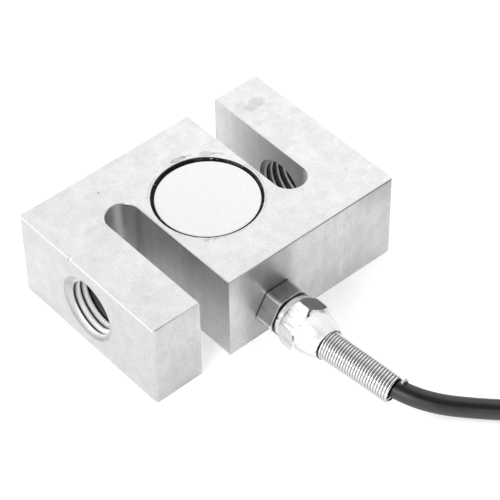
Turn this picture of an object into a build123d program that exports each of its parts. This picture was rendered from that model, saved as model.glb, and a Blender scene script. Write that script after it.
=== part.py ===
from build123d import *
import math
import os

# S type load cell: an S-shaped steel block with two threaded ends, sealed strain gauges and a lead.
# Millimetres. The block lies flat on its large face, as it rests on a bench.
# X is the load axis through the two threaded holes, Y runs across the block and Z goes up through
# its thickness. The origin is the middle of the block's bottom face.

os.makedirs("parts", exist_ok=True)

# Block
block_length = 76.2
block_width = 50.8
block_thick = 25.4
corner_radius = 0.9
edge_break = 0.35

# The two slots that leave an S: each is open at one side and has a round inner end
slot_width = 9.0
bar_width = 14.0
slot_tip = 12.7

# Threaded ends, M16 x 2: the bore is at the crests of the thread
thread_crest_radius = 7.0
thread_mouth_flare = 1.7
thread_mouth_depth = 0.9

# Gauge pockets in both large faces, with a thin shear web left between them
web_thick = 3.0
cover_radius = 13.0
cover_thick = 1.2
cover_recess = 0.4
cover_edge_break = 0.15
cover_ledge = 1.5
sealant_width = 0.9
sealant_sink = 0.15

# Strain gauges, terminal board and wiring inside the pockets
gauge_side = 8.0
gauge_thick = 0.1
board_length = 12.0
board_width = 4.6
board_thick = 0.8
board_gap = 0.3
pad_count = 6
pad_length = 1.2
pad_width = 1.0
pad_thick = 0.1
trim_radius = 0.8
trim_length = 3.6
trim_spacing = 5.4
trim_inset = 0.3
web_hole_radius = 1.2
web_hole_inset = 1.1
jumper_thick = 0.3
jumper_width = 1.2
jumper_bend = 0.8
lead_radius = 0.5
lead_bend = 2.0
lead_colours = ("red", "black", "green", "white")

# Cable gland, its axis below the middle so that it opens into the lower pocket
gland_height = 8.0
stub_radius = 3.9
stub_length = 8.0
stub_fit = 0.05
hex_across = 12.0
hex_length = 5.2
hex_corner_cut = 0.3
seal_middle_radius = 4.9
seal_width = 0.9
seal_thick = 0.8
neck_gap = 0.35
nut_thread_radius = 4.9
nut_thread_end = 10.0
nut_turn = 30.0
nut_hex_end = 11.4
nut_rim_radius = 5.85
nut_rim_length = 1.25
nut_rim_break = 0.2
nut_shoulder = 12.0
nut_mouth = 18.4
nut_mouth_radius = 4.3
nose_step = 0.1
nose_middle_drop = 0.48
nut_lip = 0.15
grommet_seat_radius = 3.8
grommet_seat_start = 6.2
grommet_fit = 0.05
washer_thick = 0.7

# Strain relief: a close-wound spring, tilted a little by the lead's weight
spring_turns = 28
spring_pitch = 0.727
spring_wire_radius = 0.325
spring_wire_sides = 6
spring_outer_radius = 3.85
spring_seat_depth = 1.9
spring_start_depth = 0.6
spring_lean = (3.63, -19.95, -2.5)

# Lead: 3 m of round cable, 5 mm thick, with four cores and a drain wire
cable_radius = 2.5
cable_clear = 0.1
cable_inner_end = -11.0
cable_seam = -33.0
cable_bend_start = -43.2
last_run = 22.0

# The put-away length: a neat round coil of four layers, four turns wide
coil_centre = (80.5, -80.6)
coil_middle_radius = 30.8
coil_wide = 4
coil_layers = 4
turn_spacing = 5.3
entry_gap = 0.6
coil_entry_angle = 235.6
tail_end_angle = 182.6

# Stripped end of the lead, lying in the top layer's last place
sleeve_wall = 0.4
sleeve_over_cable = 12.0
sleeve_past_cable = 20.0
tail_shift = 0.2
core_radius = 0.55
core_angle = 50.0
core_spacing = 1.35
bunch_radius = 1.5
drain_radius = 0.4
tip_share = 0.6
tip_length = 6.0
notch_margin = 3.0

# Tie round the coil
tie_angle = 40.0
tie_width = 2.6
tie_thick = 1.0
tie_head = 4.6
tie_fit = 0.1
tie_corner = 0.25

# Places worked out from the sizes above
slot_middle = block_length / 2 - bar_width - slot_width / 2
pocket_radius = cover_radius - cover_ledge
cover_seat_radius = cover_radius + sealant_width
thread_mouth_radius = thread_crest_radius + thread_mouth_flare
board_middle = (gauge_side + board_width) / 2 + board_gap
web_hole_place = pocket_radius - web_hole_radius - web_hole_inset
mid_height = block_thick / 2
pocket_depth = (block_thick - web_thick) / 2
web_under = mid_height - web_thick / 2
web_over = mid_height + web_thick / 2
seat_depth = cover_recess + cover_thick
face_y = -block_width / 2
gland = Plane(origin=(0, face_y, gland_height), x_dir=(1, 0, 0), z_dir=(0, -1, 0))
cable_bore = cable_radius + cable_clear


def write(part, name):
    """Labels a finished piece and writes it."""
    part.label = name
    export_step(part, f"parts/{name}.step")


def turned(points, plane=gland):
    """A solid turned about a plane's own Z axis, from (radius, distance) corners."""
    section = Plane(origin=plane.origin, x_dir=plane.x_dir, z_dir=-plane.y_dir)
    with BuildPart() as piece:
        with BuildSketch(section):
            with BuildLine():
                Polyline(*points, close=True)
            make_face()
        revolve(axis=Axis(plane.origin, plane.z_dir))
    return piece.part


# S-shaped body
with BuildPart() as body:
    with BuildSketch():
        Rectangle(block_length, block_width)
        for side in (-1, 1):
            slot_reach = slot_tip + block_width / 2 + slot_width
            slot_place = (side * slot_middle, side * (slot_reach / 2 - slot_tip))
            with Locations(slot_place):
                SlotOverall(slot_reach, slot_width, rotation=90, mode=Mode.SUBTRACT)
    extrude(amount=block_thick)
    outer_corners = [
        edge
        for edge in body.edges().filter_by(Axis.Z)
        if abs(edge.center().X) > block_length / 2 - 1e-3
    ]
    fillet(outer_corners, corner_radius)
    rims = body.faces().filter_by(Axis.Z).edges()
    chamfer(rims, edge_break)
    # Cover seats and gauge pockets
    for face_height, inward in ((block_thick, -1), (0, 1)):
        with BuildSketch(Plane.XY.offset(face_height)):
            Circle(cover_seat_radius)
        extrude(amount=inward * seat_depth, mode=Mode.SUBTRACT)
        with BuildSketch(Plane.XY.offset(face_height)):
            Circle(pocket_radius)
        extrude(amount=inward * pocket_depth, mode=Mode.SUBTRACT)
    # Hole through the web for the jumper wires
    with BuildSketch(Plane.XY.offset(web_over)):
        with Locations((web_hole_place, 0)):
            Circle(web_hole_radius)
    extrude(amount=-web_thick, mode=Mode.SUBTRACT)
    # Threaded bores, each through its bar into the slot
    for side in (-1, 1):
        bore = Plane(
            origin=(side * block_length / 2, 0, mid_height),
            x_dir=(0, 1, 0),
            z_dir=(-side, 0, 0),
        )
        add(
            turned(
                (
                    (0, 0),
                    (thread_mouth_radius, 0),
                    (thread_crest_radius, thread_mouth_depth),
                    (thread_crest_radius, bar_width + slot_width / 2),
                    (0, bar_width + slot_width / 2),
                ),
                bore,
            ),
            mode=Mode.SUBTRACT,
        )
    # Gland bore, and the cable's way on into the lower pocket
    with BuildSketch(gland):
        Circle(stub_radius + stub_fit)
    extrude(amount=-(stub_length + 1), mode=Mode.SUBTRACT)
    with BuildSketch(gland):
        Circle(cable_bore + cable_clear)
    extrude(amount=-(block_width / 2 - pocket_radius / 2), mode=Mode.SUBTRACT)
write(body.part, "body")


def cover(name, height):
    """Round cover plate with a broken edge, let into its seat."""
    with BuildPart() as plate:
        with BuildSketch(Plane.XY.offset(height)):
            Circle(cover_radius)
        extrude(amount=cover_thick)
        chamfer(plate.edges().filter_by(GeomType.CIRCLE), cover_edge_break)
    write(plate.part, name)


def sealant(name, height):
    """Ring of sealant that fills the gap round a cover."""
    with BuildPart() as ring:
        with BuildSketch(Plane.XY.offset(height)):
            Circle(cover_seat_radius)
            Circle(cover_radius, mode=Mode.SUBTRACT)
        extrude(amount=cover_thick - sealant_sink)
    write(ring.part, name)


cover("top_cover", block_thick - seat_depth)
sealant("top_sealant", block_thick - seat_depth)
cover("bottom_cover", cover_recess)
sealant("bottom_sealant", cover_recess + sealant_sink)


def shear_gauge(name, height):
    """Foil gauge for shear, bonded to the web at its middle."""
    with BuildPart() as gauge:
        with BuildSketch(Plane.XY.offset(height)):
            RectangleRounded(gauge_side, gauge_side, gauge_side / 10)
        extrude(amount=gauge_thick)
    write(gauge.part, name)


shear_gauge("top_gauge", web_over)
shear_gauge("bottom_gauge", web_under - gauge_thick)

# Terminal board, bonded under the web beside the lower gauge
board_under = web_under - board_thick
with BuildPart() as board:
    with BuildSketch(Plane.XY.offset(board_under)):
        with Locations((0, board_middle)):
            RectangleRounded(board_length, board_width, board_width / 8)
    extrude(amount=board_thick)
write(board.part, "terminal_board")

pad_line = board_middle - board_width / 2 + pad_width
pad_spacing = board_length / pad_count
with BuildPart() as pads:
    with BuildSketch(Plane.XY.offset(board_under - pad_thick)):
        with Locations((0, pad_line)):
            with GridLocations(pad_spacing, 1, pad_count, 1):
                Rectangle(pad_length, pad_width)
    extrude(amount=pad_thick)
write(pads.part, "solder_pads")

trim_line = board_middle + board_width / 2 - trim_radius - trim_inset
with BuildPart() as trims:
    for side in (-1, 1):
        end = (side * trim_spacing / 2 - trim_length / 2, trim_line, board_under - trim_radius)
        with BuildSketch(Plane(origin=end, x_dir=(0, 1, 0), z_dir=(1, 0, 0))):
            Circle(trim_radius)
        extrude(amount=trim_length)
write(trims.part, "trim_resistors")


def wire(points, bend, radius):
    """Round wire along straight runs joined by arcs of one size."""
    with BuildPart() as strand:
        with BuildLine() as path:
            FilletPolyline(*points, radius=bend)
        with BuildSketch(Plane(origin=path.line @ 0, z_dir=path.line % 0)):
            Circle(radius)
        sweep(path=path.line)
    return strand.part


# Jumper ribbon from the upper gauge, down through the web hole and back to the lower gauge
over = web_over + gauge_thick + jumper_thick / 2
under = web_under - gauge_thick - jumper_thick / 2
jumper_start = gauge_side / 2 - 1
with BuildPart() as jumpers:
    with BuildLine():
        jumper_line = FilletPolyline(
            (jumper_start, 0, over),
            (web_hole_place, 0, over),
            (web_hole_place, 0, under),
            (jumper_start, 0, under),
            radius=jumper_bend,
        )
    with BuildSketch(Plane(origin=jumper_line @ 0, x_dir=(0, 1, 0), z_dir=(1, 0, 0))):
        Rectangle(jumper_width, jumper_thick)
    sweep(path=jumper_line)
write(jumpers.part, "jumper_ribbon")

# Four leads from the cable's inner end to their pads
for index, colour in enumerate(lead_colours):
    step_across = index - (len(lead_colours) - 1) / 2
    start_across = step_across * 2.4 * lead_radius
    pad_across = step_across * pad_spacing
    pad_height = board_under - pad_thick - lead_radius
    strand = wire(
        (
            (start_across, cable_inner_end, gland_height),
            (start_across, cable_inner_end / 2, gland_height),
            (pad_across, 0, pad_height),
            (pad_across, pad_line, pad_height),
        ),
        lead_bend,
        lead_radius,
    )
    write(strand, f"inner_lead_{colour}")

# Gland body: hexagon with turned corners, threaded stub and an open seat for the grommet
hex_radius = hex_across / 2
hex_corner = hex_radius / math.cos(math.radians(30))
with BuildPart() as gland_body:
    with BuildSketch(gland):
        RegularPolygon(hex_radius, 6, major_radius=False)
    extrude(amount=hex_length)
    add(
        turned(
            (
                (0, 0),
                (hex_corner, 0),
                (hex_corner, hex_length - hex_corner_cut),
                (hex_corner - 1.7 * hex_corner_cut, hex_length),
                (0, hex_length),
            )
        ),
        mode=Mode.INTERSECT,
    )
    add(
        turned(
            (
                (0, -stub_length),
                (stub_radius - 0.4, -stub_length),
                (stub_radius, -stub_length + 0.4),
                (stub_radius, 0),
                (nut_thread_radius - 0.5, 0),
                (nut_thread_radius - 0.5, hex_length + neck_gap),
                (nut_thread_radius, hex_length + neck_gap + 0.4),
                (nut_thread_radius, nut_thread_end - 0.4),
                (nut_thread_radius - 0.4, nut_thread_end),
                (0, nut_thread_end),
            )
        )
    )
    with BuildSketch(gland.offset(-stub_length)):
        Circle(cable_bore)
    extrude(amount=stub_length + nut_thread_end, mode=Mode.SUBTRACT)
    with BuildSketch(gland.offset(grommet_seat_start)):
        Circle(grommet_seat_radius)
    extrude(amount=nut_thread_end - grommet_seat_start, mode=Mode.SUBTRACT)
    with BuildSketch(gland):
        Circle(seal_middle_radius + seal_width / 2)
        Circle(seal_middle_radius - seal_width / 2, mode=Mode.SUBTRACT)
    extrude(amount=seal_thick, mode=Mode.SUBTRACT)
write(gland_body.part, "gland_body")

# Flat sealing ring in the groove under the hexagon
with BuildPart() as seal:
    with BuildSketch(gland):
        Circle(seal_middle_radius + seal_width / 2)
        Circle(seal_middle_radius - seal_width / 2, mode=Mode.SUBTRACT)
    extrude(amount=seal_thick)
write(seal.part, "gland_seal")

# Rubber grommet squeezed round the cable, with a flange under the washer
grommet_end = nut_shoulder - washer_thick
grommet = turned(
    (
        (cable_radius, grommet_seat_start + grommet_fit),
        (grommet_seat_radius - grommet_fit, grommet_seat_start + grommet_fit),
        (grommet_seat_radius - grommet_fit, nut_thread_end + grommet_fit),
        (nut_thread_radius - grommet_fit, nut_thread_end + grommet_fit),
        (nut_thread_radius - grommet_fit, grommet_end),
        (cable_radius, grommet_end),
    )
)
write(grommet, "gland_grommet")

with BuildPart() as washer:
    with BuildSketch(gland.offset(grommet_end)):
        Circle(nut_thread_radius - grommet_fit)
        Circle(cable_bore, mode=Mode.SUBTRACT)
    extrude(amount=washer_thick)
write(washer.part, "gland_washer")

# Cap nut: turned collar, hexagon, then a domed nose that narrows to the mouth
nut_start = hex_length + neck_gap
nut_nose_start = nut_hex_end + hex_corner - hex_radius
spring_clear = spring_outer_radius + nut_lip
with BuildPart() as cap_nut:
    with BuildSketch(gland.offset(nut_start)):
        RegularPolygon(hex_radius, 6, major_radius=False, rotation=nut_turn)
    extrude(amount=nut_nose_start - nut_start)
    add(
        turned(
            (
                (0, nut_start),
                (nut_rim_radius - nut_rim_break, nut_start),
                (nut_rim_radius, nut_start + nut_rim_break),
                (nut_rim_radius, nut_start + nut_rim_length),
                (hex_corner, nut_start + nut_rim_length + hex_corner - nut_rim_radius),
                (hex_corner, nut_hex_end),
                (hex_radius, nut_nose_start),
                (0, nut_nose_start),
            )
        ),
        mode=Mode.INTERSECT,
    )
    with BuildSketch(Plane(origin=gland.origin, x_dir=(1, 0, 0), z_dir=(0, 0, -1))):
        with BuildLine():
            nose = Spline(
                (hex_radius - nose_step, nut_nose_start - nose_step),
                (hex_radius - nose_middle_drop, (2 * nut_nose_start + nut_mouth) / 3),
                (nut_mouth_radius + 0.1, nut_mouth - 0.3),
            )
            Polyline(
                nose @ 1,
                (nut_mouth_radius, nut_mouth),
                (0, nut_mouth),
                (0, nut_nose_start - nose_step),
                nose @ 0,
            )
        make_face()
    revolve(axis=Axis(gland.origin, gland.z_dir))
    add(
        turned(
            (
                (0, nut_start),
                (nut_thread_radius + stub_fit, nut_start),
                (nut_thread_radius + stub_fit, nut_shoulder),
                (cable_radius + 4 * cable_clear, nut_shoulder),
                (cable_radius + 4 * cable_clear, nut_mouth - spring_seat_depth),
                (spring_clear, nut_mouth - spring_seat_depth),
                (spring_clear, nut_mouth),
                (0, nut_mouth),
            )
        ),
        mode=Mode.SUBTRACT,
    )
write(cap_nut.part, "gland_cap_nut")

# Strain relief spring: a true helix that starts in the nut's mouth
mouth = Vector(0, face_y - nut_mouth, gland_height)
spring_line = Vector(*spring_lean).normalized()
spring_start = mouth - spring_line * spring_start_depth
with BuildPart() as spring:
    with BuildLine():
        coils = Helix(
            pitch=spring_pitch,
            height=spring_pitch * spring_turns,
            radius=spring_outer_radius - spring_wire_radius,
            center=spring_start,
            direction=spring_line,
        )
    with BuildSketch(Plane(origin=coils @ 0, z_dir=coils % 0)):
        RegularPolygon(spring_wire_radius, spring_wire_sides)
    sweep(path=coils, is_frenet=True)
write(spring.part, "strain_relief_spring")

# Straight inner end of the cable, held in the gland
with BuildPart() as inner_end:
    with BuildSketch(Plane.XZ.offset(-cable_inner_end)):
        with Locations((0, gland_height)):
            Circle(cable_radius)
    extrude(amount=cable_inner_end - cable_seam)
write(inner_end.part, "cable_inner_end")

# Free length of the cable, from the gland to the coil. Points chosen by hand.
entry = math.radians(coil_entry_angle)
outer_turn_radius = coil_middle_radius + (coil_wide - 1) / 2 * turn_spacing
entry_point = Vector(
    coil_centre[0] + outer_turn_radius * math.cos(entry),
    coil_centre[1] + outer_turn_radius * math.sin(entry),
    cable_radius,
)
heading = Vector(-math.sin(entry), math.cos(entry), 0)
cable_route = [
    Vector(0, cable_seam, gland_height),
    Vector(0, cable_bend_start, gland_height),
    Vector(3.47, -62.24, 5.61),
    Vector(8.3, -70.6, 3.7),
    Vector(15.2, -77.4, cable_radius),
    Vector(24.6, -87.0, cable_radius),
    entry_point - heading * last_run,
    entry_point,
]


def corner_radii(points):
    """The arc at each corner: 0.45 of the shorter run over the tangent of half the turn."""
    radii = []
    for before, corner, after in zip(points, points[1:], points[2:]):
        run_in = corner - before
        run_out = after - corner
        half_turn = math.radians(run_in.get_angle(run_out)) / 2
        radii.append(0.45 * min(run_in.length, run_out.length) / math.tan(half_turn))
    return radii


cable_radii = corner_radii(cable_route)
with BuildPart() as cable:
    with BuildLine():
        cable_line = FilletPolyline(*cable_route, radius=cable_radii)
    with BuildSketch(Plane(origin=cable_line @ 0, z_dir=cable_line % 0)):
        Circle(cable_radius)
    sweep(path=cable_line)
write(cable.part, "cable")
cable_volume = math.pi * cable_radius**2 * cable_line.length
print("cable radii", [round(radius, 1) for radius in cable_radii])
print("cable runs", [round((b - a).length, 1) for a, b in zip(cable_route, cable_route[1:])])
print("cable volume over section times length", cable.part.volume / cable_volume)


def coil_plane(angle):
    """Upright plane through the coil's axis: local X is outwards, local Y is up."""
    turn = math.radians(angle)
    return Plane(
        origin=(coil_centre[0], coil_centre[1], 0),
        x_dir=(math.cos(turn), math.sin(turn), 0),
        z_dir=(math.sin(turn), -math.cos(turn), 0),
    )


def coil_point(angle, radius, height):
    """A point of the coil at an angle round its axis, in degrees."""
    turn = math.radians(angle)
    return (
        coil_centre[0] + radius * math.cos(turn),
        coil_centre[1] + radius * math.sin(turn),
        height,
    )


# Coil: the outer shape of the wound turns, with room for the entry, the stripped end and the tie
coil_axis = Axis((coil_centre[0], coil_centre[1], 0), (0, 0, 1))
coil_height = 2 * cable_radius * coil_layers
coil_thick = (coil_wide - 1) * turn_spacing + 2 * cable_radius
sleeve_radius = cable_radius + sleeve_wall
shelf = coil_height - 2 * cable_radius
notch_start = tail_end_angle - sleeve_over_cable - notch_margin
tail_radius = outer_turn_radius + tail_shift
tip_angle = math.degrees(tip_length / tail_radius)
notch_arc = 2 * notch_margin + sleeve_over_cable + sleeve_past_cable + core_angle + tip_angle
with BuildPart() as coil:
    with BuildSketch(coil_plane(0)):
        with Locations((coil_middle_radius, coil_height / 2)):
            section = Rectangle(coil_thick, coil_height)
        chamfer(section.vertices(), cable_radius / 2)
    revolve(axis=coil_axis)
    # Way in for the free length, along the tangent of the outer turn
    with BuildSketch(Plane(origin=entry_point, x_dir=(0, 0, 1), z_dir=-heading)):
        Rectangle(2 * cable_radius + entry_gap, 2 * cable_radius + entry_gap)
    extrude(amount=outer_turn_radius, mode=Mode.SUBTRACT)
    # Place of the stripped end, with the cable's own last stretch in it
    with BuildSketch(coil_plane(notch_start)):
        with Locations((tail_radius - sleeve_radius - cable_clear, shelf)):
            Rectangle(turn_spacing * 2, 3 * cable_radius, align=(Align.MIN, Align.MIN))
    revolve(axis=coil_axis, revolution_arc=notch_arc, mode=Mode.SUBTRACT)
    with BuildSketch(coil_plane(notch_start - notch_margin)):
        with Locations((tail_radius, shelf + sleeve_radius)):
            Circle(cable_radius)
    revolve(axis=coil_axis, revolution_arc=tail_end_angle - notch_start + notch_margin)
    # Room for the tie under the bundle
    with BuildSketch(Plane.XY):
        with Locations(coil_point(tie_angle, coil_middle_radius, 0)[:2]):
            Rectangle(coil_thick, tie_width + 0.2, rotation=tie_angle)
    extrude(amount=tie_thick, mode=Mode.SUBTRACT)
write(coil.part, "cable_coil")

# Heat-shrunk sleeve over the end of the sheath
with BuildPart() as sleeve:
    with BuildSketch(coil_plane(tail_end_angle - sleeve_over_cable)):
        with Locations((tail_radius, shelf + sleeve_radius)):
            Circle(sleeve_radius)
            Circle(cable_radius, mode=Mode.SUBTRACT)
    revolve(axis=coil_axis, revolution_arc=sleeve_over_cable + sleeve_past_cable)
write(sleeve.part, "end_sleeve")

# Cores: bunched inside the sleeve, then fanned out side by side on the turns below
bunch_height = shelf + sleeve_radius
sleeve_mouth = tail_end_angle + sleeve_past_cable
tips = []


def core(name, radius, bunch, fan):
    """One core from the sheath's end; bunch and fan are its places across and up the coil."""
    places = (
        (tail_end_angle + 0.5, bunch),
        (sleeve_mouth - 2, bunch),
        (sleeve_mouth + core_angle / 3, fan),
        (sleeve_mouth + core_angle * 2 / 3, fan),
        (sleeve_mouth + core_angle, fan),
    )
    route = [Vector(*coil_point(angle, tail_radius + x, z)) for angle, (x, z) in places]
    with BuildPart() as strand:
        with BuildLine():
            line = FilletPolyline(*route, radius=corner_radii(route))
        with BuildSketch(Plane(origin=line @ 0, z_dir=line % 0)):
            Circle(radius)
        sweep(path=line)
    write(strand.part, name)
    tips.append((Plane(origin=line @ 1, z_dir=line % 1), radius * tip_share))


bunch_share = bunch_radius / math.sqrt(2)
core_places = (
    ("core_red", -1, 1, -1.5),
    ("core_black", -1, -1, -0.5),
    ("core_green", 1, -1, 0.5),
    ("core_white", 1, 1, 1.5),
)
for name, across, up, slot in core_places:
    core(
        name,
        core_radius,
        (across * bunch_share, bunch_height + up * bunch_share),
        (slot * core_spacing, shelf + core_radius),
    )
drain_lift = math.sqrt((core_radius + drain_radius) ** 2 - (core_spacing / 2) ** 2)
core(
    "core_drain",
    drain_radius,
    (0, bunch_height),
    (0, shelf + core_radius + drain_lift + cable_clear),
)

with BuildPart() as core_tips:
    for place, radius in tips:
        with BuildSketch(place):
            Circle(radius)
        extrude(amount=tip_length)
write(core_tips.part, "core_tips")

# Tie: a band round the bundle with its head at the outside
tie_wide = coil_thick + 2 * (tie_thick + tie_fit)
tie_outer = coil_middle_radius + tie_wide / 2
with BuildPart() as tie:
    with BuildSketch(coil_plane(tie_angle).offset(-tie_width / 2)):
        with Locations((coil_middle_radius, (coil_height + tie_thick) / 2)):
            RectangleRounded(tie_wide, coil_height + tie_thick, tie_corner + tie_thick)
            RectangleRounded(
                tie_wide - 2 * tie_thick,
                coil_height - tie_thick,
                tie_corner,
                mode=Mode.SUBTRACT,
            )
    extrude(amount=tie_width)
    with BuildSketch(coil_plane(tie_angle).offset(-tie_head / 2)):
        with Locations((tie_outer - tie_thick / 2, coil_height / 2)):
            Rectangle(tie_thick * 2.4, tie_head, align=(Align.MIN, Align.CENTER))
    extrude(amount=tie_head)
write(tie.part, "coil_tie")
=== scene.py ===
"""S type load cell: the finish of its block, covers, gland, strain-relief spring and lead.

Lengths are in metres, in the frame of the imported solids. X runs through the two threaded holes,
Y across the block and Z up from the bench that the block lies on.
"""

import math

import bmesh
import bpy
from bpy.props import FloatProperty, FloatVectorProperty, IntProperty, PointerProperty
from bpy.types import Operator, Panel, PropertyGroup
from mathutils import Matrix, Vector, noise


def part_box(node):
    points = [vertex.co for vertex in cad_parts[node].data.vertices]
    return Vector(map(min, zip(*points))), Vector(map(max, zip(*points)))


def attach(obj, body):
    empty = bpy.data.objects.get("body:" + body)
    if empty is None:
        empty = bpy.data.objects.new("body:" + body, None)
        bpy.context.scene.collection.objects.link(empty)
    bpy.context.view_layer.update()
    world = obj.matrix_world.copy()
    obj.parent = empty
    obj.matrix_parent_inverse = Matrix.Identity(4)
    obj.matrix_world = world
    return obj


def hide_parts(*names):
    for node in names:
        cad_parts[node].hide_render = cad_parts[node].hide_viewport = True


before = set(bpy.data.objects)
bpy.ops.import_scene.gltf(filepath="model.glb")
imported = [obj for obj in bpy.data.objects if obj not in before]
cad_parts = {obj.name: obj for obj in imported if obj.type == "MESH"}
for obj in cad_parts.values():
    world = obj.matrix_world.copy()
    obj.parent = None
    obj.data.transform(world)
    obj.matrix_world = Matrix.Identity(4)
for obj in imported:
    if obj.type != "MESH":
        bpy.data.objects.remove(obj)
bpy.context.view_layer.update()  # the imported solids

bl_info = {
    "name": "S type load cell",
    "version": (1, 0, 0),
    "blender": (4, 5, 0),
    "location": "3D View > Sidebar > Load cell",
    "description": "Models and finishes an S type load cell with its gland, spring and lead",
    "category": "Object",
}

MM = 0.001
BODY = "root"
# Directions by which some finishes paint shade: down to the left of the gland, and up from the lead
UNDERSIDE = (-0.83, -0.04, -0.56)
CROWN = (-0.296, -0.344, 0.891)
PHOTO_PIXELS = 500
SENSOR_MM = 36.0
HEXAGON_ROUND = 0.16 * MM
CORE_COLOURS = {
    "red": (0.55, 0.03, 0.025),
    "black": (0.02, 0.02, 0.02),
    "green": (0.02, 0.3, 0.1),
    "white": (0.8, 0.8, 0.77),
}

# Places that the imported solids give
block_low, block_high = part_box("body")
block_size = block_high - block_low
block_middle = (block_low + block_high) / 2
gland_low, gland_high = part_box("gland_body")
gland_height = (gland_low.z + gland_high.z) / 2
gland_place = Matrix(
    ((1, 0, 0, 0), (0, 0, -1, block_low.y), (0, 1, 0, gland_height), (0, 0, 0, 1))
)
upper_face = Matrix.Translation((0, 0, block_high.z))
lower_face = Matrix.Translation((0, 0, block_low.z)) @ Matrix.Rotation(math.pi, 4, "X")


def size(name, description, millimetres):
    """A length that a user may change, given in millimetres."""
    return FloatProperty(
        name=name, description=description, default=millimetres * MM, precision=5, unit="LENGTH"
    )


def share(name, description, value):
    """A plain factor that a user may change."""
    return FloatProperty(name=name, description=description, default=value, min=0.0, precision=3)


def turn(name, description, degrees):
    """An angle that a user may change, given in degrees."""
    return FloatProperty(
        name=name, description=description, default=math.radians(degrees), subtype="ANGLE"
    )


def shade(name, description, colour):
    """A colour that a user may change."""
    return FloatVectorProperty(
        name=name, description=description, default=colour, min=0.0, max=1.0, size=3, subtype="COLOR"
    )


class BlockSizes(PropertyGroup):
    """Sizes of the S-shaped block."""

    slot_width: size("Slot width", "Width of each slot", 9.0)
    bar_width: size("Bar width", "Width of each threaded end bar", 14.0)
    near_tip: size("Near slot tip", "How far the slot at -X runs past the block's middle", 12.7)
    far_tip: size("Far slot tip", "How far the slot at +X runs past the block's middle", 12.25)
    corner_radius: size("Corner radius", "Round on the block's upright outer corners", 0.9)
    edge_break: size("Edge break", "Bevel round the large faces", 0.35)


class ThreadSizes(PropertyGroup):
    """Sizes of the threaded holes."""

    crest_radius: size("Crest radius", "Radius at the thread's crests", 7.0)
    root_radius: size("Root radius", "Radius at the thread's roots", 8.08)
    pitch: size("Pitch", "Length of one turn of the thread", 2.0)
    mouth_radius: size("Mouth radius", "Radius of the countersink at the face", 9.1)
    mouth_depth: size("Mouth depth", "Depth at which the countersink meets the crests", 1.1)


class CoverSizes(PropertyGroup):
    """Sizes of the covers, their seats and the sealant round them."""

    radius: size("Cover radius", "Radius of each cover plate", 13.05)
    thickness: size("Thickness", "Thickness of each cover plate", 1.2)
    recess: size("Recess", "Depth of each plate under the large face", 0.4)
    ledge: size("Ledge", "Width of the ledge that each plate sits on", 1.5)
    off_centre: size("Off centre", "How far each plate has been glued off its middle", 0.28)
    sealant_width: size("Sealant width", "Gap round each plate, filled with sealant", 0.85)
    sealant_sink: size("Sealant sink", "Depth of the sealant under the plate", 0.15)
    web: size("Web", "Thickness of the shear web between the pockets", 3.0)
    web_hole_place: size("Web hole place", "Place of the wiring hole from the middle", 9.2)
    web_hole_radius: size("Web hole radius", "Radius of the wiring hole", 1.2)


class GlandSizes(PropertyGroup):
    """Sizes of the cable gland."""

    across: size("Across flats", "Size of both hexagons", 12.0)
    hexagon_length: size("Hexagon length", "Length of the gland body's hexagon", 5.2)
    stub_length: size("Stub length", "Length of the stub in the block", 8.0)
    stub_radius: size("Stub radius", "Radius of the stub", 3.9)
    thread_radius: size("Nut thread radius", "Radius of the thread under the cap nut", 4.9)
    thread_end: size("Nut thread end", "End of the thread under the cap nut", 10.0)
    nut_start: size("Nut start", "Where the cap nut starts", 5.55)
    nut_collar: size("Nut collar", "Radius of the turned collar behind the nut's flats", 5.85)
    nut_hexagon_end: size("Nut hexagon end", "Where the nut's corners end", 11.4)
    nut_mouth: size("Nut mouth", "Where the nut's nose ends", 18.4)
    nut_mouth_radius: size("Nut mouth radius", "Outer radius of the nose at its mouth", 4.3)
    cable_way: size("Cable way", "Radius of the way through the gland", 2.6)
    nut_turn: turn("Nut turn", "Turn of the nut's flats from the gland body's", 30.0)


class SpringSizes(PropertyGroup):
    """Sizes of the strain-relief spring."""

    turns: share("Turns", "Turns of the spring", 27.3)
    pitch: size("Pitch", "Length of one turn", 0.727)
    wire_radius: size("Wire radius", "Radius of the round wire", 0.325)
    outer_radius: size("Outer radius", "Outer radius of the spring in the nut", 3.85)
    taper: size("Taper", "How much narrower the spring is at its end", 0.2)
    flare: size("Flare", "How much wider the last half turn is", 0.8)
    opening: size("Opening", "How far the last turn has been pulled open", 1.0)
    pull: FloatVectorProperty(
        name="Pull",
        description="How far the lead pulls the spring's end aside",
        default=(0.00014, -0.00044, -0.0004),
        precision=5,
        unit="LENGTH",
    )
    end_angle: turn("End angle", "Turn of the wire's end about the spring's axis", 88.0)
    start_depth: size("Start depth", "Start of the spring behind the nut's mouth", 0.6)
    lean: FloatVectorProperty(
        name="Lean", description="Direction of the spring's axis", default=(3.63, -19.95, -2.5)
    )


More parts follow.
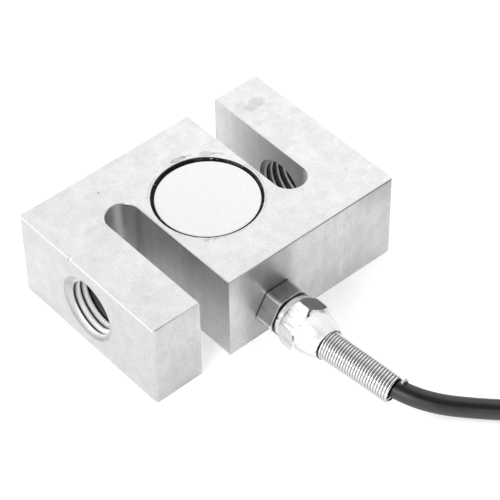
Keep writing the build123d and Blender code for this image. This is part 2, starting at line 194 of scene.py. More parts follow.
class LeadSizes(PropertyGroup):
    """Sizes of the lead, its coil and its stripped end."""

    diameter: size("Diameter", "Diameter of the sheath", 5.0)
    length: size("Length", "Length of the lead from its place in the gland", 2980.0)
    coil_x: size("Coil X", "Middle of the coil along X", 80.5)
    coil_y: size("Coil Y", "Middle of the coil along Y", -80.6)
    middle_radius: size("Coil middle radius", "Radius at the middle of the coil's turns", 30.8)
    spacing: size("Turn spacing", "Distance between turns that lie beside each other", 5.3)
    wide: IntProperty(name="Turns wide", description="Turns side by side", default=4, min=2)
    layers: IntProperty(name="Layers", description="Layers of turns", default=4, min=1)
    entry_angle: turn("Entry angle", "Where the lead meets its outer turn", 235.6)
    turning: turn("Turning", "How far the lead turns in its coil", 5347.0)
    shift: turn("Shift", "Length of a step from one turn to the next", 45.0)
    sleeve_wall: size("Sleeve wall", "Wall of the shrunk sleeve", 0.4)
    sleeve_over: turn("Sleeve over", "Sleeve on the sheath", 12.0)
    sleeve_past: turn("Sleeve past", "Sleeve past the sheath's end", 20.0)
    tail_shift: size("Tail shift", "Outward step of the last stretch", 0.2)
    core_radius: size("Core radius", "Radius of each insulated core", 0.55)
    core_spacing: size("Core spacing", "Distance between the cores", 1.35)
    core_angle: turn("Core angle", "Length of the cores past the sleeve", 50.0)
    bunch_radius: size("Bunch radius", "Circle of the cores inside the sleeve", 1.5)
    drain_radius: size("Drain radius", "Radius of the drain wire", 0.4)
    tip_length: size("Tip length", "Stripped length of each core", 6.0)
    tie_angle: turn("Tie angle", "Place of the tie round the coil", 40.0)
    tie_width: size("Tie width", "Width of the tie's band", 2.6)
    tie_thick: size("Tie thickness", "Thickness of the tie's band", 1.0)
    tie_head: size("Tie head", "Size of the tie's head", 4.6)


class StageSettings(PropertyGroup):
    """The camera and the light."""

    azimuth: turn("Azimuth", "Camera's bearing round the block", -40.7136)
    elevation: turn("Elevation", "Camera's height above the bench", 46.0157)
    roll: turn("Roll", "Camera's turn about its own axis", -0.7603)
    right: size("Right", "Camera's step to its right", 10.1227)
    up: size("Up", "Camera's step upwards", 4.6504)
    distance: size("Distance", "Distance from the block's bottom face", 565.445)
    focal_pixels: share("Focal length", "Focal length in pixels of the photograph", 2257.85)
    sky: share("Sky", "Brightness of the surrounding light", 1.12)
    bench_glow: share("Bench glow", "Light that the bench itself gives, which thins its shadows", 0.5)
    key: share("Key light", "Power of the large lamp, in watts", 1.5)
    hole: share("Hole light", "Power of the lamp that shines into the holes, in watts", 3.0)
    fill: share("Fill light", "Power of the small lamp, in watts", 0.3)


class FinishColours(PropertyGroup):
    """Base colours of the finishes."""

    nickel: shade("Nickel", "Satin plating of the block", (0.74, 0.74, 0.735))
    thread: shade("Thread", "Cut surface of the threads", (0.85, 0.85, 0.85))
    cover: shade("Cover", "Plate of the covers", (0.735, 0.735, 0.73))
    gland: shade("Gland", "Gland body", (0.45, 0.45, 0.45))
    # Also the colour of the painted highlights on the gland's corners and front rim
    bright: shade("Bright", "Plating of the nut and the spring", (0.88, 0.88, 0.88))
    sealant: shade("Sealant", "Sealant round the covers", (0.005, 0.005, 0.005))
    sheath: shade("Sheath", "Sheath of the lead", (0.023, 0.023, 0.024))


class LoadCell(PropertyGroup):
    """Everything that a user may change."""

    block: PointerProperty(type=BlockSizes)
    thread: PointerProperty(type=ThreadSizes)
    cover: PointerProperty(type=CoverSizes)
    gland: PointerProperty(type=GlandSizes)
    spring: PointerProperty(type=SpringSizes)
    lead: PointerProperty(type=LeadSizes)
    stage: PointerProperty(type=StageSettings)
    colours: PointerProperty(type=FinishColours)


class Value:
    """A socket that can be worked with like a number."""

    def __init__(self, shader, socket):
        self.shader = shader
        self.socket = socket

    def maths(self, operation, first, second=0.0):
        """A Math node on two values."""
        return self.shader.node("ShaderNodeMath", {"operation": operation}, {0: first, 1: second})

    def __add__(self, other):
        return self.maths("ADD", self, other)

    def __radd__(self, other):
        return self.maths("ADD", other, self)

    def __sub__(self, other):
        return self.maths("SUBTRACT", self, other)

    def __rsub__(self, other):
        return self.maths("SUBTRACT", other, self)

    def __mul__(self, other):
        return self.maths("MULTIPLY", self, other)

    def __rmul__(self, other):
        return self.maths("MULTIPLY", other, self)

    def __pow__(self, other):
        return self.maths("POWER", self, other)

    def __abs__(self):
        return self.maths("ABSOLUTE", self)


class Shader:
    """A node tree, with one method that makes any node."""

    def __init__(self, tree):
        self.nodes = tree.nodes
        self.links = tree.links

    def feed(self, socket, value):
        """Gives a socket a link, a colour or a number."""
        if isinstance(value, Value):
            self.links.new(value.socket, socket)
        elif socket.type == "RGBA":
            socket.default_value = (*value, 1.0)[:4]
        else:
            socket.default_value = value

    def node(self, kind, settings=None, inputs=None, output=0):
        """Adds a node, sets it, feeds its sockets and returns one of its outputs."""
        made = self.nodes.new(kind)
        for name, value in (settings or {}).items():
            setattr(made, name, value)
        for name, value in (inputs or {}).items():
            self.feed(made.inputs[name], value)
        return Value(self, made.outputs[output])

    def object_place(self):
        """The place on the object."""
        return self.node("ShaderNodeTexCoord", output="Object")

    def split(self, vector):
        """The three numbers of a vector."""
        return [self.node("ShaderNodeSeparateXYZ", inputs={0: vector}, output=i) for i in range(3)]

    def towards(self, vector, direction):
        """How far a vector reaches in a fixed direction."""
        return self.node(
            "ShaderNodeVectorMath",
            {"operation": "DOT_PRODUCT"},
            {0: vector, 1: tuple(direction)},
            output="Value",
        )

    def normal(self):
        """The direction that the surface faces."""
        return self.node("ShaderNodeNewGeometry", output="Normal")

    def stretched(self, scale, turned_by=(0.0, 0.0, 0.0)):
        """The place on the object, scaled along each axis."""
        return self.node(
            "ShaderNodeMapping",
            inputs={"Vector": self.object_place(), "Rotation": turned_by, "Scale": scale},
        )

    def grain(self, scale, detail=3.0, roughness=0.5, place=None, distortion=0.0):
        """Noise from 0 to 1; scale is in features per metre."""
        return self.node(
            "ShaderNodeTexNoise",
            inputs={
                "Vector": place or self.object_place(),
                "Scale": scale,
                "Detail": detail,
                "Roughness": roughness,
                "Distortion": distortion,
            },
        )

    def mask(self, value, low, high):
        """A smooth step from 0 at low to 1 at high."""
        return self.node(
            "ShaderNodeMapRange",
            {"interpolation_type": "SMOOTHSTEP"},
            {0: value, 1: low, 2: high, 3: 0.0, 4: 1.0},
        )

    def spread(self, value, low, high):
        """Noise from 0 to 1 as a number from low to high."""
        return self.node("ShaderNodeMapRange", {}, {0: value, 1: 0.3, 2: 0.7, 3: low, 4: high})

    def blend(self, factor, one, two):
        """A colour between two."""
        return self.node(
            "ShaderNodeMix", {"data_type": "RGBA"}, {0: factor, 6: one, 7: two}, output=2
        )

    def band(self, value, low, high, fall, end):
        """1 between high and fall, 0 below low and past end."""
        return self.mask(value, low, high) * (1 - self.mask(value, fall, end))

    def lit(self, colour, *shares):
        """A colour with only these shares of its light left."""
        return self.blend(math.prod(shares), (0.0, 0.0, 0.0), colour)

    def relief(self, height, distance):
        """A bump; distance is the height in metres that 1 stands for."""
        return self.node(
            "ShaderNodeBump", {}, {"Height": height, "Distance": distance, "Strength": 1.0}
        )


class Finish(Shader):
    """A material for a piece."""

    def __init__(self, name):
        self.material = bpy.data.materials.new(name)
        self.material.use_nodes = True
        super().__init__(self.material.node_tree)
        self.surface = self.nodes["Principled BSDF"]

    def set(self, **values):
        """Feeds the surface's sockets; an underscore stands for a space."""
        for name, value in values.items():
            self.feed(self.surface.inputs[name.replace("_", " ")], value)
        return self.material


def tone(colour, factor):
    """A colour made lighter or darker."""
    return tuple(min(1.0, channel * factor) for channel in colour)


def oval_reach(x, y, across, along, long, wide, angle=0.0):
    """How far out in a turned oval a place lies, squared; 1 at its edge. In millimetres."""
    cosine, sine = math.cos(angle) / MM, math.sin(angle) / MM
    x = x - across * MM
    y = y - along * MM
    right = (x * cosine + y * sine) * (1 / long)
    ahead = (y * cosine - x * sine) * (1 / wide)
    return right * right + ahead * ahead


def satin_nickel(cell):
    """The block: plated, mottled, with faint cutter lines in its slots and shiny threads; painted shade on
    its faces, slots, countersinks and threads, and painted highlights on its rims and thread crests.
    """
    finish = Finish("satin_nickel")
    colours = cell.colours
    x, y, z = finish.split(finish.object_place())
    normal_x, normal_y, normal_z = finish.split(finish.normal())
    flat = finish.mask(abs(normal_z), 0.3, 0.6)
    front = finish.mask(normal_y * -1.0, 0.5, 0.9)
    end = finish.mask(normal_x * -1.0, 0.5, 0.9)
    inner = block_size.x / 2 - cell.block.bar_width - cell.block.slot_width
    outer = block_size.x / 2 - cell.block.bar_width
    # The walls of both slots
    slot = (1 - flat) * finish.band(
        abs(x), inner - 0.2 * MM, inner - 0.1 * MM, outer + 0.1 * MM, outer + 0.2 * MM
    )
    up = z - block_middle.z
    from_axis = (y * y + up * up) ** 0.5
    crests = cell.thread.crest_radius
    roots = cell.thread.root_radius
    mouth = cell.thread.mouth_radius
    depth = block_size.x / 2 - abs(x)
    slope = (mouth - crests) / cell.thread.mouth_depth
    past_cone = finish.mask(from_axis + depth * slope - mouth, 0.03 * MM, 0.1 * MM)
    right_half = finish.mask(x, 0.0, MM)
    thread = (
        (1 - finish.mask(from_axis, roots + 0.05 * MM, roots + 0.15 * MM))
        * finish.mask(abs(x), outer + 0.02 * MM, outer + 0.05 * MM)
        * finish.mask(depth, 0.1 * MM, 0.2 * MM)
        * past_cone
    )
    countersink = (1 - past_cone) * finish.mask(depth, 0.02 * MM, 0.06 * MM)
    far = thread * right_half
    # Painted shade darkens the threads' hollows, less so in the lower part of the near hole, where light
    # falls in; painted highlights whiten the crests
    lower = finish.mask(up * -1.0, -5 * MM, 5 * MM) * (1 - far)
    into_groove = (from_axis - crests) * (1 / (roots - crests))
    groove_shade = thread * finish.mask(into_groove - lower * 0.45 - far * 0.45, 0.1, 0.65)
    crest = thread * (1 - finish.mask(from_axis, crests + 0.02 * MM, crests + 0.14 * MM))
    gland_shadow = finish.band(x, -13 * MM, -7 * MM, 2 * MM, 7 * MM)
    clouds = finish.grain(75.0, 3.0, 0.6)
    blotches = finish.grain(330.0, 4.0, 0.62, distortion=0.3)
    specks = finish.grain(1500.0, 3.0, 0.6)
    dots = finish.mask(finish.grain(620.0, 1.0, 0.3), 0.77, 0.8)
    veins = finish.grain(1.0, 4.0, 0.65, finish.stretched((430.0, 430.0, 190.0), (0.5, 0.3, 0.0)))
    streaks = finish.grain(1.0, 3.0, 0.6, finish.stretched((700.0, 700.0, 18.0)))
    scratch_lines = finish.grain(
        1.0, 2.0, 0.5, finish.stretched((90.0, 1500.0, 400.0), (0.0, 0.0, 0.7))
    )
    scratches = finish.mask(scratch_lines, 0.68, 0.74)
    # A trace of sealant and rubbed metal just outside each seat
    past_seat = (x * x + y * y) ** 0.5 - (cell.cover.radius + cell.cover.sealant_width)
    rubs_and_highlights = (
        flat
        * finish.band(past_seat, 0.3 * MM, 0.5 * MM, 0.55 * MM, 0.75 * MM)
        * finish.mask(finish.grain(95.0, 2.0, 0.5), 0.46, 0.54)
    )
    stains = 0.0
    for *oval, strength in (
        (30.8, 17.5, 3.6, 2.4, 0.16),
        (27.6, 19.4, 2.2, 1.2, 0.08),
        (-19.0, 18.6, 0.4, 0.3, 0.4),
        (23.7, 12.4, 0.35, 0.35, 0.4),
        (-11.1, -8.5, 0.7, 0.45, 0.22),
        (-9.6, -11.2, 1.1, 0.5, 0.26),
        (-8.0, -12.3, 1.0, 0.45, 0.24),
        (-27.0, 7.5, 5.0, 3.0, 0.05),
        (-31.0, -14.0, 4.0, 6.0, 0.04),
    ):
        reach = oval_reach(x, y, *oval) + (blotches - 0.5) * 2.4
        stains = (1 - finish.mask(reach, 0.35, 1.1)) * strength + stains
    # Thin dried sealant beside the upper seat, with a darker outline
    films = 0.0
    for *oval, strength in (
        (9.6, 11.6, 2.3, 0.75, -0.7, 0.16),
        (11.9, 9.7, 1.6, 0.35, -0.85, 0.14),
        (3.2, 14.6, 2.1, 0.6, -0.15, 0.24),
        (5.4, 14.1, 1.6, 0.35, -0.4, 0.16),
    ):
        reach = oval_reach(x, y, *oval) + (blotches - 0.5) * 2.6
        inside = 1 - finish.mask(reach, 0.8, 1.05)
        outline = finish.mask(reach, 0.5, 0.85) * inside
        films = inside * strength + outline * strength * 1.6 + films
    above = flat * finish.mask(z, block_middle.z, block_high.z)
    bevels = finish.band(abs(normal_z), 0.15, 0.35, 0.92, 0.98) * finish.mask(
        past_seat, 0.5 * MM, 0.6 * MM
    )
    # Painted shade dims the rim on the covers' side of the slot at -X, and painted highlights whiten the
    # rims that face +X
    shaded_rims = bevels * finish.band(
        x * -1.0, inner - 0.8 * MM, inner - 0.4 * MM, inner + 0.4 * MM, inner + 0.8 * MM
    )
    highlit_rims = bevels * finish.mask(normal_x, 0.15, 0.3)
    highlit_end_rims = bevels * finish.mask(normal_x * -1.0, 0.15, 0.3) * finish.mask(x * -1.0, outer, outer + MM)
    towards_front = finish.mask(y * -1.0, -6 * MM, 6 * MM)
    colour = finish.lit(
        colours.nickel,
        finish.spread(clouds, 0.965, 1.0),
        finish.spread(blotches, 0.91, 1.0),
        finish.spread(specks, 0.88, 1.0),
        1 - dots * 0.2,
        # Painted shade in the countersink: a little darker overall, more in its upper part and towards -Y
        1 - countersink * 0.05,
        1 - countersink * finish.mask(up, -3 * MM, 4 * MM) * 0.2,
        1 - countersink * finish.mask(y * -1.0, -MM, 4 * MM) * finish.spread(blotches, 0.35, 0.05),
        1 - scratches * 0.06,
        # Darker veined mottle on the faces towards -Y: partly the plating's own mottle, partly painted
        # shade on that side
        1 - front * finish.spread(veins, 0.14, 0.01),
        # Painted shadow of the gland on the faces towards -Y beside it, and painted shade towards both
        # ends of those faces
        1 - front * (gland_shadow * 0.3 + finish.mask(abs(x), 21 * MM, 27 * MM) * 0.11),
        # Painted shade on the faces towards -X, less on the slot walls
        1 - end * (0.19 - slot * 0.05),
        # Painted shade on the walls of the slot at +X, towards -Y
        1 - slot * (1 - front) * right_half * towards_front * 0.2,
        1 - slot * finish.spread(streaks, 0.07, 0.0),
        1 - rubs_and_highlights * 0.32,
        1 - above * stains,
        1 - above * films,
        1 - shaded_rims * 0.3,
    )
    # Painted highlights on the rims that face +X and, fainter, on the rims at the -X end
    colour = finish.blend(highlit_end_rims * 0.4, colour, (0.97, 0.97, 0.97))
    colour = finish.blend(highlit_rims, colour, (0.97, 0.97, 0.97))
    height = specks * 0.4 + blotches * 0.6 + slot * streaks * 0.8 - scratches * 0.3
    roughness = (
        finish.spread(blotches, 0.43, 0.35)
        + finish.spread(clouds, 0.03, -0.03)
        - thread * 0.14
    )
    # Painted light and shade on the threads: lighter in the lower part of the near hole, darker in the far
    # hole and deep in the near hole, white on the crests and darkest in the grooves
    deep = finish.mask(depth, 4.6 * MM, 6.4 * MM) * (1 - far)
    shaded_thread = finish.blend(lower, tone(colours.thread, 0.5), (1.0, 1.0, 1.0))
    shaded_thread = finish.blend(far, shaded_thread, tone(colours.thread, 0.3))
    shaded_thread = finish.blend(crest, shaded_thread, (1.0, 1.0, 1.0))
    shaded_thread = finish.blend(deep, shaded_thread, tone(colours.thread, 0.12))
    shaded_thread = finish.blend(groove_shade, shaded_thread, tone(colours.thread, 0.05))
    return finish.set(
        Base_Color=finish.blend(thread, colour, shaded_thread),
        Metallic=1 - thread * 0.65 - crest * 0.35 - highlit_rims * 0.85,
        Roughness=roughness,
        Normal=finish.relief(height, 0.012 * MM),
    )


def cover_plate(colours):
    """The covers: bright, foil-like, with a soft mottle."""
    finish = Finish("cover_plate")
    mottle = finish.grain(300.0, 4.0, 0.65, distortion=0.5)
    fine = finish.grain(1700.0, 3.0, 0.6)
    dots = finish.mask(finish.grain(900.0, 1.0, 0.3), 0.74, 0.78)
    return finish.set(
        Base_Color=finish.lit(
            colours.cover,
            finish.spread(mottle, 0.92, 1.0),
            finish.spread(fine, 0.94, 1.0),
            1 - dots * 0.06,
        ),
        Metallic=1.0,
        Roughness=finish.spread(mottle, 0.3, 0.4),
        Normal=finish.relief(mottle + fine * 0.3, 0.014 * MM),
    )


def black_sealant(cell):
    """Black sealant, greyer along its outer side, with a few light flecks in it."""
    finish = Finish("black_sealant")
    x, y = finish.split(finish.object_place())[:2]
    from_middle = (x * x + y * y) ** 0.5
    seat = cell.cover.radius + cell.cover.sealant_width
    lumps = finish.grain(900.0, 3.0, 0.6)
    patches = finish.mask(finish.grain(160.0, 2.0, 0.5), 0.48, 0.6)
    outer = finish.mask(from_middle, seat - 0.45 * MM, seat - 0.3 * MM) * patches
    flecks = finish.mask(finish.grain(1300.0, 1.0, 0.4), 0.69, 0.73)
    black = cell.colours.sealant
    colour = finish.blend(outer, black, tone(black, 12.0))
    return finish.set(
        Base_Color=finish.blend(flecks, colour, (0.4, 0.4, 0.39)),
        Metallic=(1 - flecks) * 0.75,
        Roughness=finish.spread(lumps, 0.4, 0.65),
        Normal=finish.relief(lumps, 0.08 * MM),
    )


def brushed_gland(colours, gland):
    """The gland's hexagon: darker, with fine lines round its axis, painted highlights on its corners and
    front rim, and painted shade on its front face and back rim.
    """
    finish = Finish("brushed_gland")
    x, y, z = finish.split(finish.object_place())
    up = z - gland_height
    corner = corner_of(gland.across)
    from_axis = (x * x + up * up) ** 0.5
    along = block_low.y - y
    past_front = along - gland.hexagon_length
    edges = finish.grain(900.0, 2.0, 0.5)
    # Painted shade on the front face, in the gap to the nut, and on the back rim against the block;
    # painted highlights on the corners and the front rim, in the bright plating's colour
    front_face = finish.mask(past_front, -0.04 * MM, -0.02 * MM)
    front_rim = finish.mask(past_front, -0.32 * MM, -0.22 * MM) * (1 - front_face)
    back_rim = 1 - finish.mask(along, 0.14 * MM, 0.3 * MM)
    corners = finish.mask(from_axis + edges * 0.1 * MM, corner - 0.26 * MM, corner - 0.08 * MM)
    rubs_and_highlights = (1 - (1 - corners) * (1 - front_rim)) * (1 - front_face) * (1 - back_rim)
    lines = finish.grain(1.0, 3.0, 0.65, finish.stretched((260.0, 5200.0, 260.0)))
    clouds = finish.grain(500.0, 3.0, 0.5)
    colour = finish.lit(
        colours.gland,
        finish.spread(lines, 0.84, 1.0),
        finish.spread(clouds, 0.9, 1.0),
        1 - front_face * 0.55,
        1 - back_rim * 0.85,
    )
    return finish.set(
        Base_Color=finish.blend(rubs_and_highlights, colour, colours.bright),
        Metallic=1.0,
        Roughness=finish.spread(clouds, 0.26, 0.36),
        Normal=finish.relief(lines, 0.005 * MM),
    )


def plating(name, roughness):
    """Bright plating with faint turning lines; gives its scuffs and how far it faces down too, for painted
    shade.
    """
    finish = Finish(name)
    lines = finish.grain(1.0, 2.0, 0.6, finish.stretched((240.0, 4800.0, 240.0)))
    scuffs = finish.grain(650.0, 4.0, 0.65)
    finish.set(
        Roughness=finish.spread(scuffs, roughness, roughness + 0.1),
        Normal=finish.relief(lines * 0.7 + scuffs * 0.5, 0.004 * MM),
    )
    return finish, scuffs, finish.towards(finish.normal(), UNDERSIDE)


def spring_plate(colours):
    """The spring: bright plating, with much painted shade where it faces down."""
    finish, scuffs, down = plating("spring_plating", 0.14)
    colour = finish.lit(
        tone(colours.bright, 0.9),
        finish.spread(scuffs, 0.92, 1.0),
        # Painted shade where the wire faces down
        1 - finish.mask(down, 0.45, 0.95) * 0.5,
    )
    return finish.set(Base_Color=colour, Metallic=1.0)


def nut_plate(colours, gland):
    """The cap nut: bright flats, a nose and collar painted whiter, dark marks beside the flats, and
    painted shade where it faces down.
    """
    finish, _, down = plating("nut_plating", 0.12)
    y = finish.split(finish.object_place())[1]
    normal_y = finish.split(finish.normal())[1]
    along = block_low.y - y
    collar = 1 - finish.mask(along, gland.nut_start + 1.2 * MM, gland.nut_start + 1.45 * MM)
    chamfer = finish.mask(normal_y * -1.0, 0.5, 0.65)
    nose = finish.mask(normal_y * -1.0, 0.04, 0.2)
    dull = 1 - (1 - nose) * (1 - collar)
    flats = (1 - dull) * (1 - chamfer)
    lengthwise = finish.grain(1.0, 3.0, 0.6, finish.stretched((900.0, 120.0, 900.0)))
    streaks = finish.mask(lengthwise, 0.54, 0.66)
    marks = finish.mask(finish.grain(420.0, 2.0, 0.5), 0.57, 0.64)
    dark = marks * (1 - (1 - chamfer) * (1 - collar)) * 0.75
    # Painted light and shade on one plating: the nose and collar whiter and the flats 10% darker; painted
    # shade where the nut faces down, most under the nose
    colour = finish.lit(
        finish.blend(dull, colours.bright, (0.95, 0.95, 0.95)),
        finish.spread(finish.grain(700.0, 3.0, 0.6), 0.93, 1.0),
        1 - flats * 0.1,
        1 - flats * streaks * 0.3,
        1 - finish.mask(down, 0.45, 0.95) * 0.12,
        1 - nose * finish.mask(down, 0.75, 0.95) * 0.3,
        1 - dark,
    )
    return finish.set(
        Base_Color=colour, Metallic=1 - (dull * 0.6 + chamfer * 0.3) * (1 - dark)
    )


def lead_sheath(cell):
    """Flexible black sheath with a faint drawn grain, with painted shade on top and a painted shadow where
    it leaves the spring.
    """
    finish = Finish("lead_sheath")
    start, axis = spring_line(cell)
    end = start + axis * cell.spring.turns * cell.spring.pitch
    place = finish.object_place()
    past = finish.towards(place, axis) - end.dot(axis)
    # The coil, far along X, is out of the spring's shade
    near = 1 - finish.mask(finish.split(place)[0], 20 * MM, 21 * MM)
    shaded = (1 - finish.mask(past, 0.15 * MM, 0.5 * MM)) * near
    # Painted shade on the side that faces up from the lead, darker and less reflective
    crown_shade = finish.mask(finish.towards(finish.normal(), CROWN), 0.93, 1.0)
    fine = finish.grain(1500.0, 3.0, 0.6)
    clouds = finish.grain(160.0, 2.0, 0.5)
    sheath = cell.colours.sheath
    colour = finish.blend(finish.spread(clouds, 0.0, 1.0), sheath, tone(sheath, 1.35))
    colour = finish.blend(crown_shade, colour, tone(sheath, 0.55))
    return finish.set(
        Base_Color=finish.blend(shaded, colour, (0.001, 0.001, 0.001)),
        Metallic=1 - (1 - shaded) * (1 - crown_shade * 0.5),
        Roughness=finish.spread(clouds, 0.36, 0.46),
        Normal=finish.relief(fine, 0.012 * MM),
    )


def plastic(name, colour, roughness, grain=1200.0, depth=0.01):
    """Moulded or extruded plastic and rubber, slightly uneven."""
    finish = Finish(name)
    fine = finish.grain(grain, 3.0, 0.55)
    shades = finish.blend(fine, tone(colour, 0.82), tone(colour, 1.12))
    return finish.set(
        Base_Color=shades,
        Roughness=finish.spread(fine, roughness - 0.05, roughness + 0.05),
        Normal=finish.relief(fine, depth * MM),
    )


def metal(name, colour, roughness, grain=1500.0):
    """Small plain metal pieces."""
    finish = Finish(name)
    fine = finish.grain(grain, 3.0, 0.6)
    shades = finish.blend(fine, tone(colour, 0.85), colour)
    return finish.set(
        Base_Color=shades,
        Metallic=1.0,
        Roughness=finish.spread(fine, roughness, roughness + 0.1),
        Normal=finish.relief(fine, 0.006 * MM),
    )


def gauge_film():
    """Amber film with the printed foil grid of a shear gauge."""
    finish = Finish("gauge_film")
    x, y = finish.split(finish.object_place())[:2]
    wave = finish.node("ShaderNodeMath", {"operation": "SINE"}, {0: (x + y) * 9000.0})
    half_grid = 2.6 * MM
    lines = finish.mask(wave, 0.0, 0.3)
    for across in (abs(x), abs(y)):
        lines = lines * (1 - finish.mask(across, half_grid, half_grid * 1.05))
    film = finish.blend(finish.grain(900.0), (0.5, 0.26, 0.06), (0.62, 0.36, 0.1))
    return finish.set(
        Base_Color=finish.blend(lines, film, (0.35, 0.33, 0.3)),
        Metallic=lines * 0.8,
        Roughness=0.35,
    )


def facing(direction, at):
    """A place whose Z points in a direction."""
    return Matrix.Translation(at) @ direction.to_track_quat("Z", "Y").to_matrix().to_4x4()


def spring_line(cell):
    """Where the spring starts inside the nut, and the direction of its axis."""
    axis = Vector(cell.spring.lean).normalized()
    mouth = gland_place @ Vector((0, 0, cell.gland.nut_mouth))
    return mouth - axis * cell.spring.start_depth, axis


def corner_of(across):
    """Radius at a hexagon's corners, from its size across flats."""
    return across / 2 / math.cos(math.radians(30))


def only(kind, items):
    """The items of one kind among what a bmesh operator gives back."""
    return [item for item in items if isinstance(item, kind)]


def swept(bm, geom, steps, angle=math.tau, cent=(0, 0, 0), rise=0.0, merge=False):
    """Sweeps geometry about an upright line; gives back what lies at the sweep's end."""
    made = bmesh.ops.spin(
        bm,
        geom=geom,
        cent=cent,
        axis=(0, 0, 1),
        dvec=(0, 0, rise),
        angle=angle,
        steps=steps,
        use_merge=merge,
    )
    return made["geom_last"]


def new_piece(name, bm):
    """Puts a bmesh into a new object."""
    mesh = bpy.data.meshes.new(name)
    bm.to_mesh(mesh)
    bm.free()
    piece = bpy.data.objects.new(name, mesh)
    bpy.context.scene.collection.objects.link(piece)
    return piece


def bake(piece):
    """Puts what a piece's modifiers make into its mesh."""
    bpy.context.view_layer.update()
    graph = bpy.context.evaluated_depsgraph_get()
    made = bpy.data.meshes.new_from_object(piece.evaluated_get(graph))
    old = piece.data
    piece.modifiers.clear()
    piece.data = made
    bpy.data.meshes.remove(old)


def combine(piece, tool_bm, operation):
    """Cuts, joins or trims a piece with a closed bmesh, which is used up."""
    tool = new_piece("tool", tool_bm)
    change = piece.modifiers.new("combine", "BOOLEAN")
    change.operation = operation
    change.solver = "EXACT"
    change.object = tool
    bake(piece)
    bpy.data.objects.remove(tool)


def smooth(piece, degrees=30.0, weighted=True):
    """Smooth shading that stops at edges sharper than an angle."""
    piece.data.shade_smooth()
    piece.data.set_sharp_from_angle(angle=math.radians(degrees))
    if weighted:
        weights = piece.modifiers.new("weights", "WEIGHTED_NORMAL")
        weights.keep_sharp = True
        bake(piece)


def dress(piece, material, slot, *nodes):
    """Gives a new piece its material, its body and the solids that it stands for."""
    piece.data.materials.clear()
    piece.data.materials.append(material)
    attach(piece, BODY)
    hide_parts(*nodes)


def dress_node(name, material):
    """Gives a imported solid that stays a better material."""
    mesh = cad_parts[name].data
    mesh.materials.clear()
    mesh.materials.append(material)


def turned(points, steps=96, ring=False):
    """A closed shape turned about Z, from (radius, height) corners in millimetres."""
    bm = bmesh.new()
    corners = [bm.verts.new((radius * MM, 0.0, height * MM)) for radius, height in points]
    pairs = list(zip(corners, corners[1:]))
    if ring:
        pairs.append((corners[-1], corners[0]))
    edges = [bm.edges.new(pair) for pair in pairs]
    swept(bm, corners + edges, steps, merge=True)
    bmesh.ops.remove_doubles(bm, verts=bm.verts, dist=1e-7)
    bmesh.ops.recalc_face_normals(bm, faces=bm.faces)
    return bm


def placed(bm, place):
    """Moves a bmesh to its place."""
    bmesh.ops.transform(bm, matrix=place, verts=bm.verts)
    return bm


def raised(bm, height):
    """Extrudes a bmesh's one face along Z into a closed prism."""
    risen = bmesh.ops.extrude_face_region(bm, geom=bm.faces[:])
    verts = only(bmesh.types.BMVert, risen["geom"])
    bmesh.ops.translate(bm, verts=verts, vec=(0, 0, height))
    bmesh.ops.recalc_face_normals(bm, faces=bm.faces)
    return bm


def rounded(bm, edges, width, segments):
    """Bevels edges."""
    bmesh.ops.bevel(
        bm,
        geom=edges,
        offset=width,
        offset_type="OFFSET",
        segments=segments,
        profile=0.5,
        affect="EDGES",
        material=-1,
        clamp_overlap=True,
    )
    return bm


def upright_edges(bm):
    """Edges that run along Z."""
    return [
        edge
        for edge in bm.edges
        if (edge.verts[0].co.xy - edge.verts[1].co.xy).length < 1e-7
    ]


def box(low, high):
    """A closed box between two corners."""
    bm = bmesh.new()
    low, high = Vector(low), Vector(high)
    place = Matrix.Translation((low + high) / 2) @ Matrix.Diagonal((*(high - low), 1))
    bmesh.ops.create_cube(bm, size=1.0, matrix=place)
    return bm


def hexagon(across, start, end, turned_by):
    """A closed hexagonal prism along Z with its long edges broken."""
    bm = bmesh.new()
    turned_to = Matrix.Rotation(turned_by + math.radians(30), 4, "Z")
    place = Matrix.Translation((0, 0, start)) @ turned_to
    bmesh.ops.create_circle(bm, cap_ends=True, segments=6, radius=corner_of(across), matrix=place)
    raised(bm, end - start)
    return rounded(bm, upright_edges(bm), HEXAGON_ROUND, 3)


def threaded_core(thread, start, end, steps=72):
    """A closed rod with a helical ridge, the shape that a tap leaves empty."""
    crest, root, pitch = thread.crest_radius, thread.root_radius, thread.pitch
    crest_flat = pitch / 4
    root_flat = pitch / 8
    flank = (pitch - crest_flat - root_flat) / 2
    one_turn = (
        (crest, 0.0),
        (crest, crest_flat),
        (root, crest_flat + flank),
        (root, crest_flat + flank + root_flat),
    )
    count = math.ceil((end - start) / pitch) + 2
    bm = bmesh.new()
    corners = [
        bm.verts.new((radius, 0.0, start + (turn_index - 1) * pitch + height))
        for turn_index in range(count)
        for radius, height in one_turn
    ]
    edges = [bm.edges.new(pair) for pair in zip(corners, corners[1:])]
    swept(bm, corners + edges, steps, rise=pitch / steps)
    bmesh.ops.remove_doubles(bm, verts=bm.verts, dist=1e-6)
    for height, outwards in ((start, -1), (end, 1)):
        cut = bmesh.ops.bisect_plane(
            bm,
            geom=bm.verts[:] + bm.edges[:] + bm.faces[:],
            plane_co=(0, 0, height),
            plane_no=(0, 0, outwards),
            clear_outer=True,
        )
        bmesh.ops.edgeloop_fill(bm, edges=only(bmesh.types.BMEdge, cut["geom_cut"]))
    bmesh.ops.recalc_face_normals(bm, faces=bm.faces)
    return bm


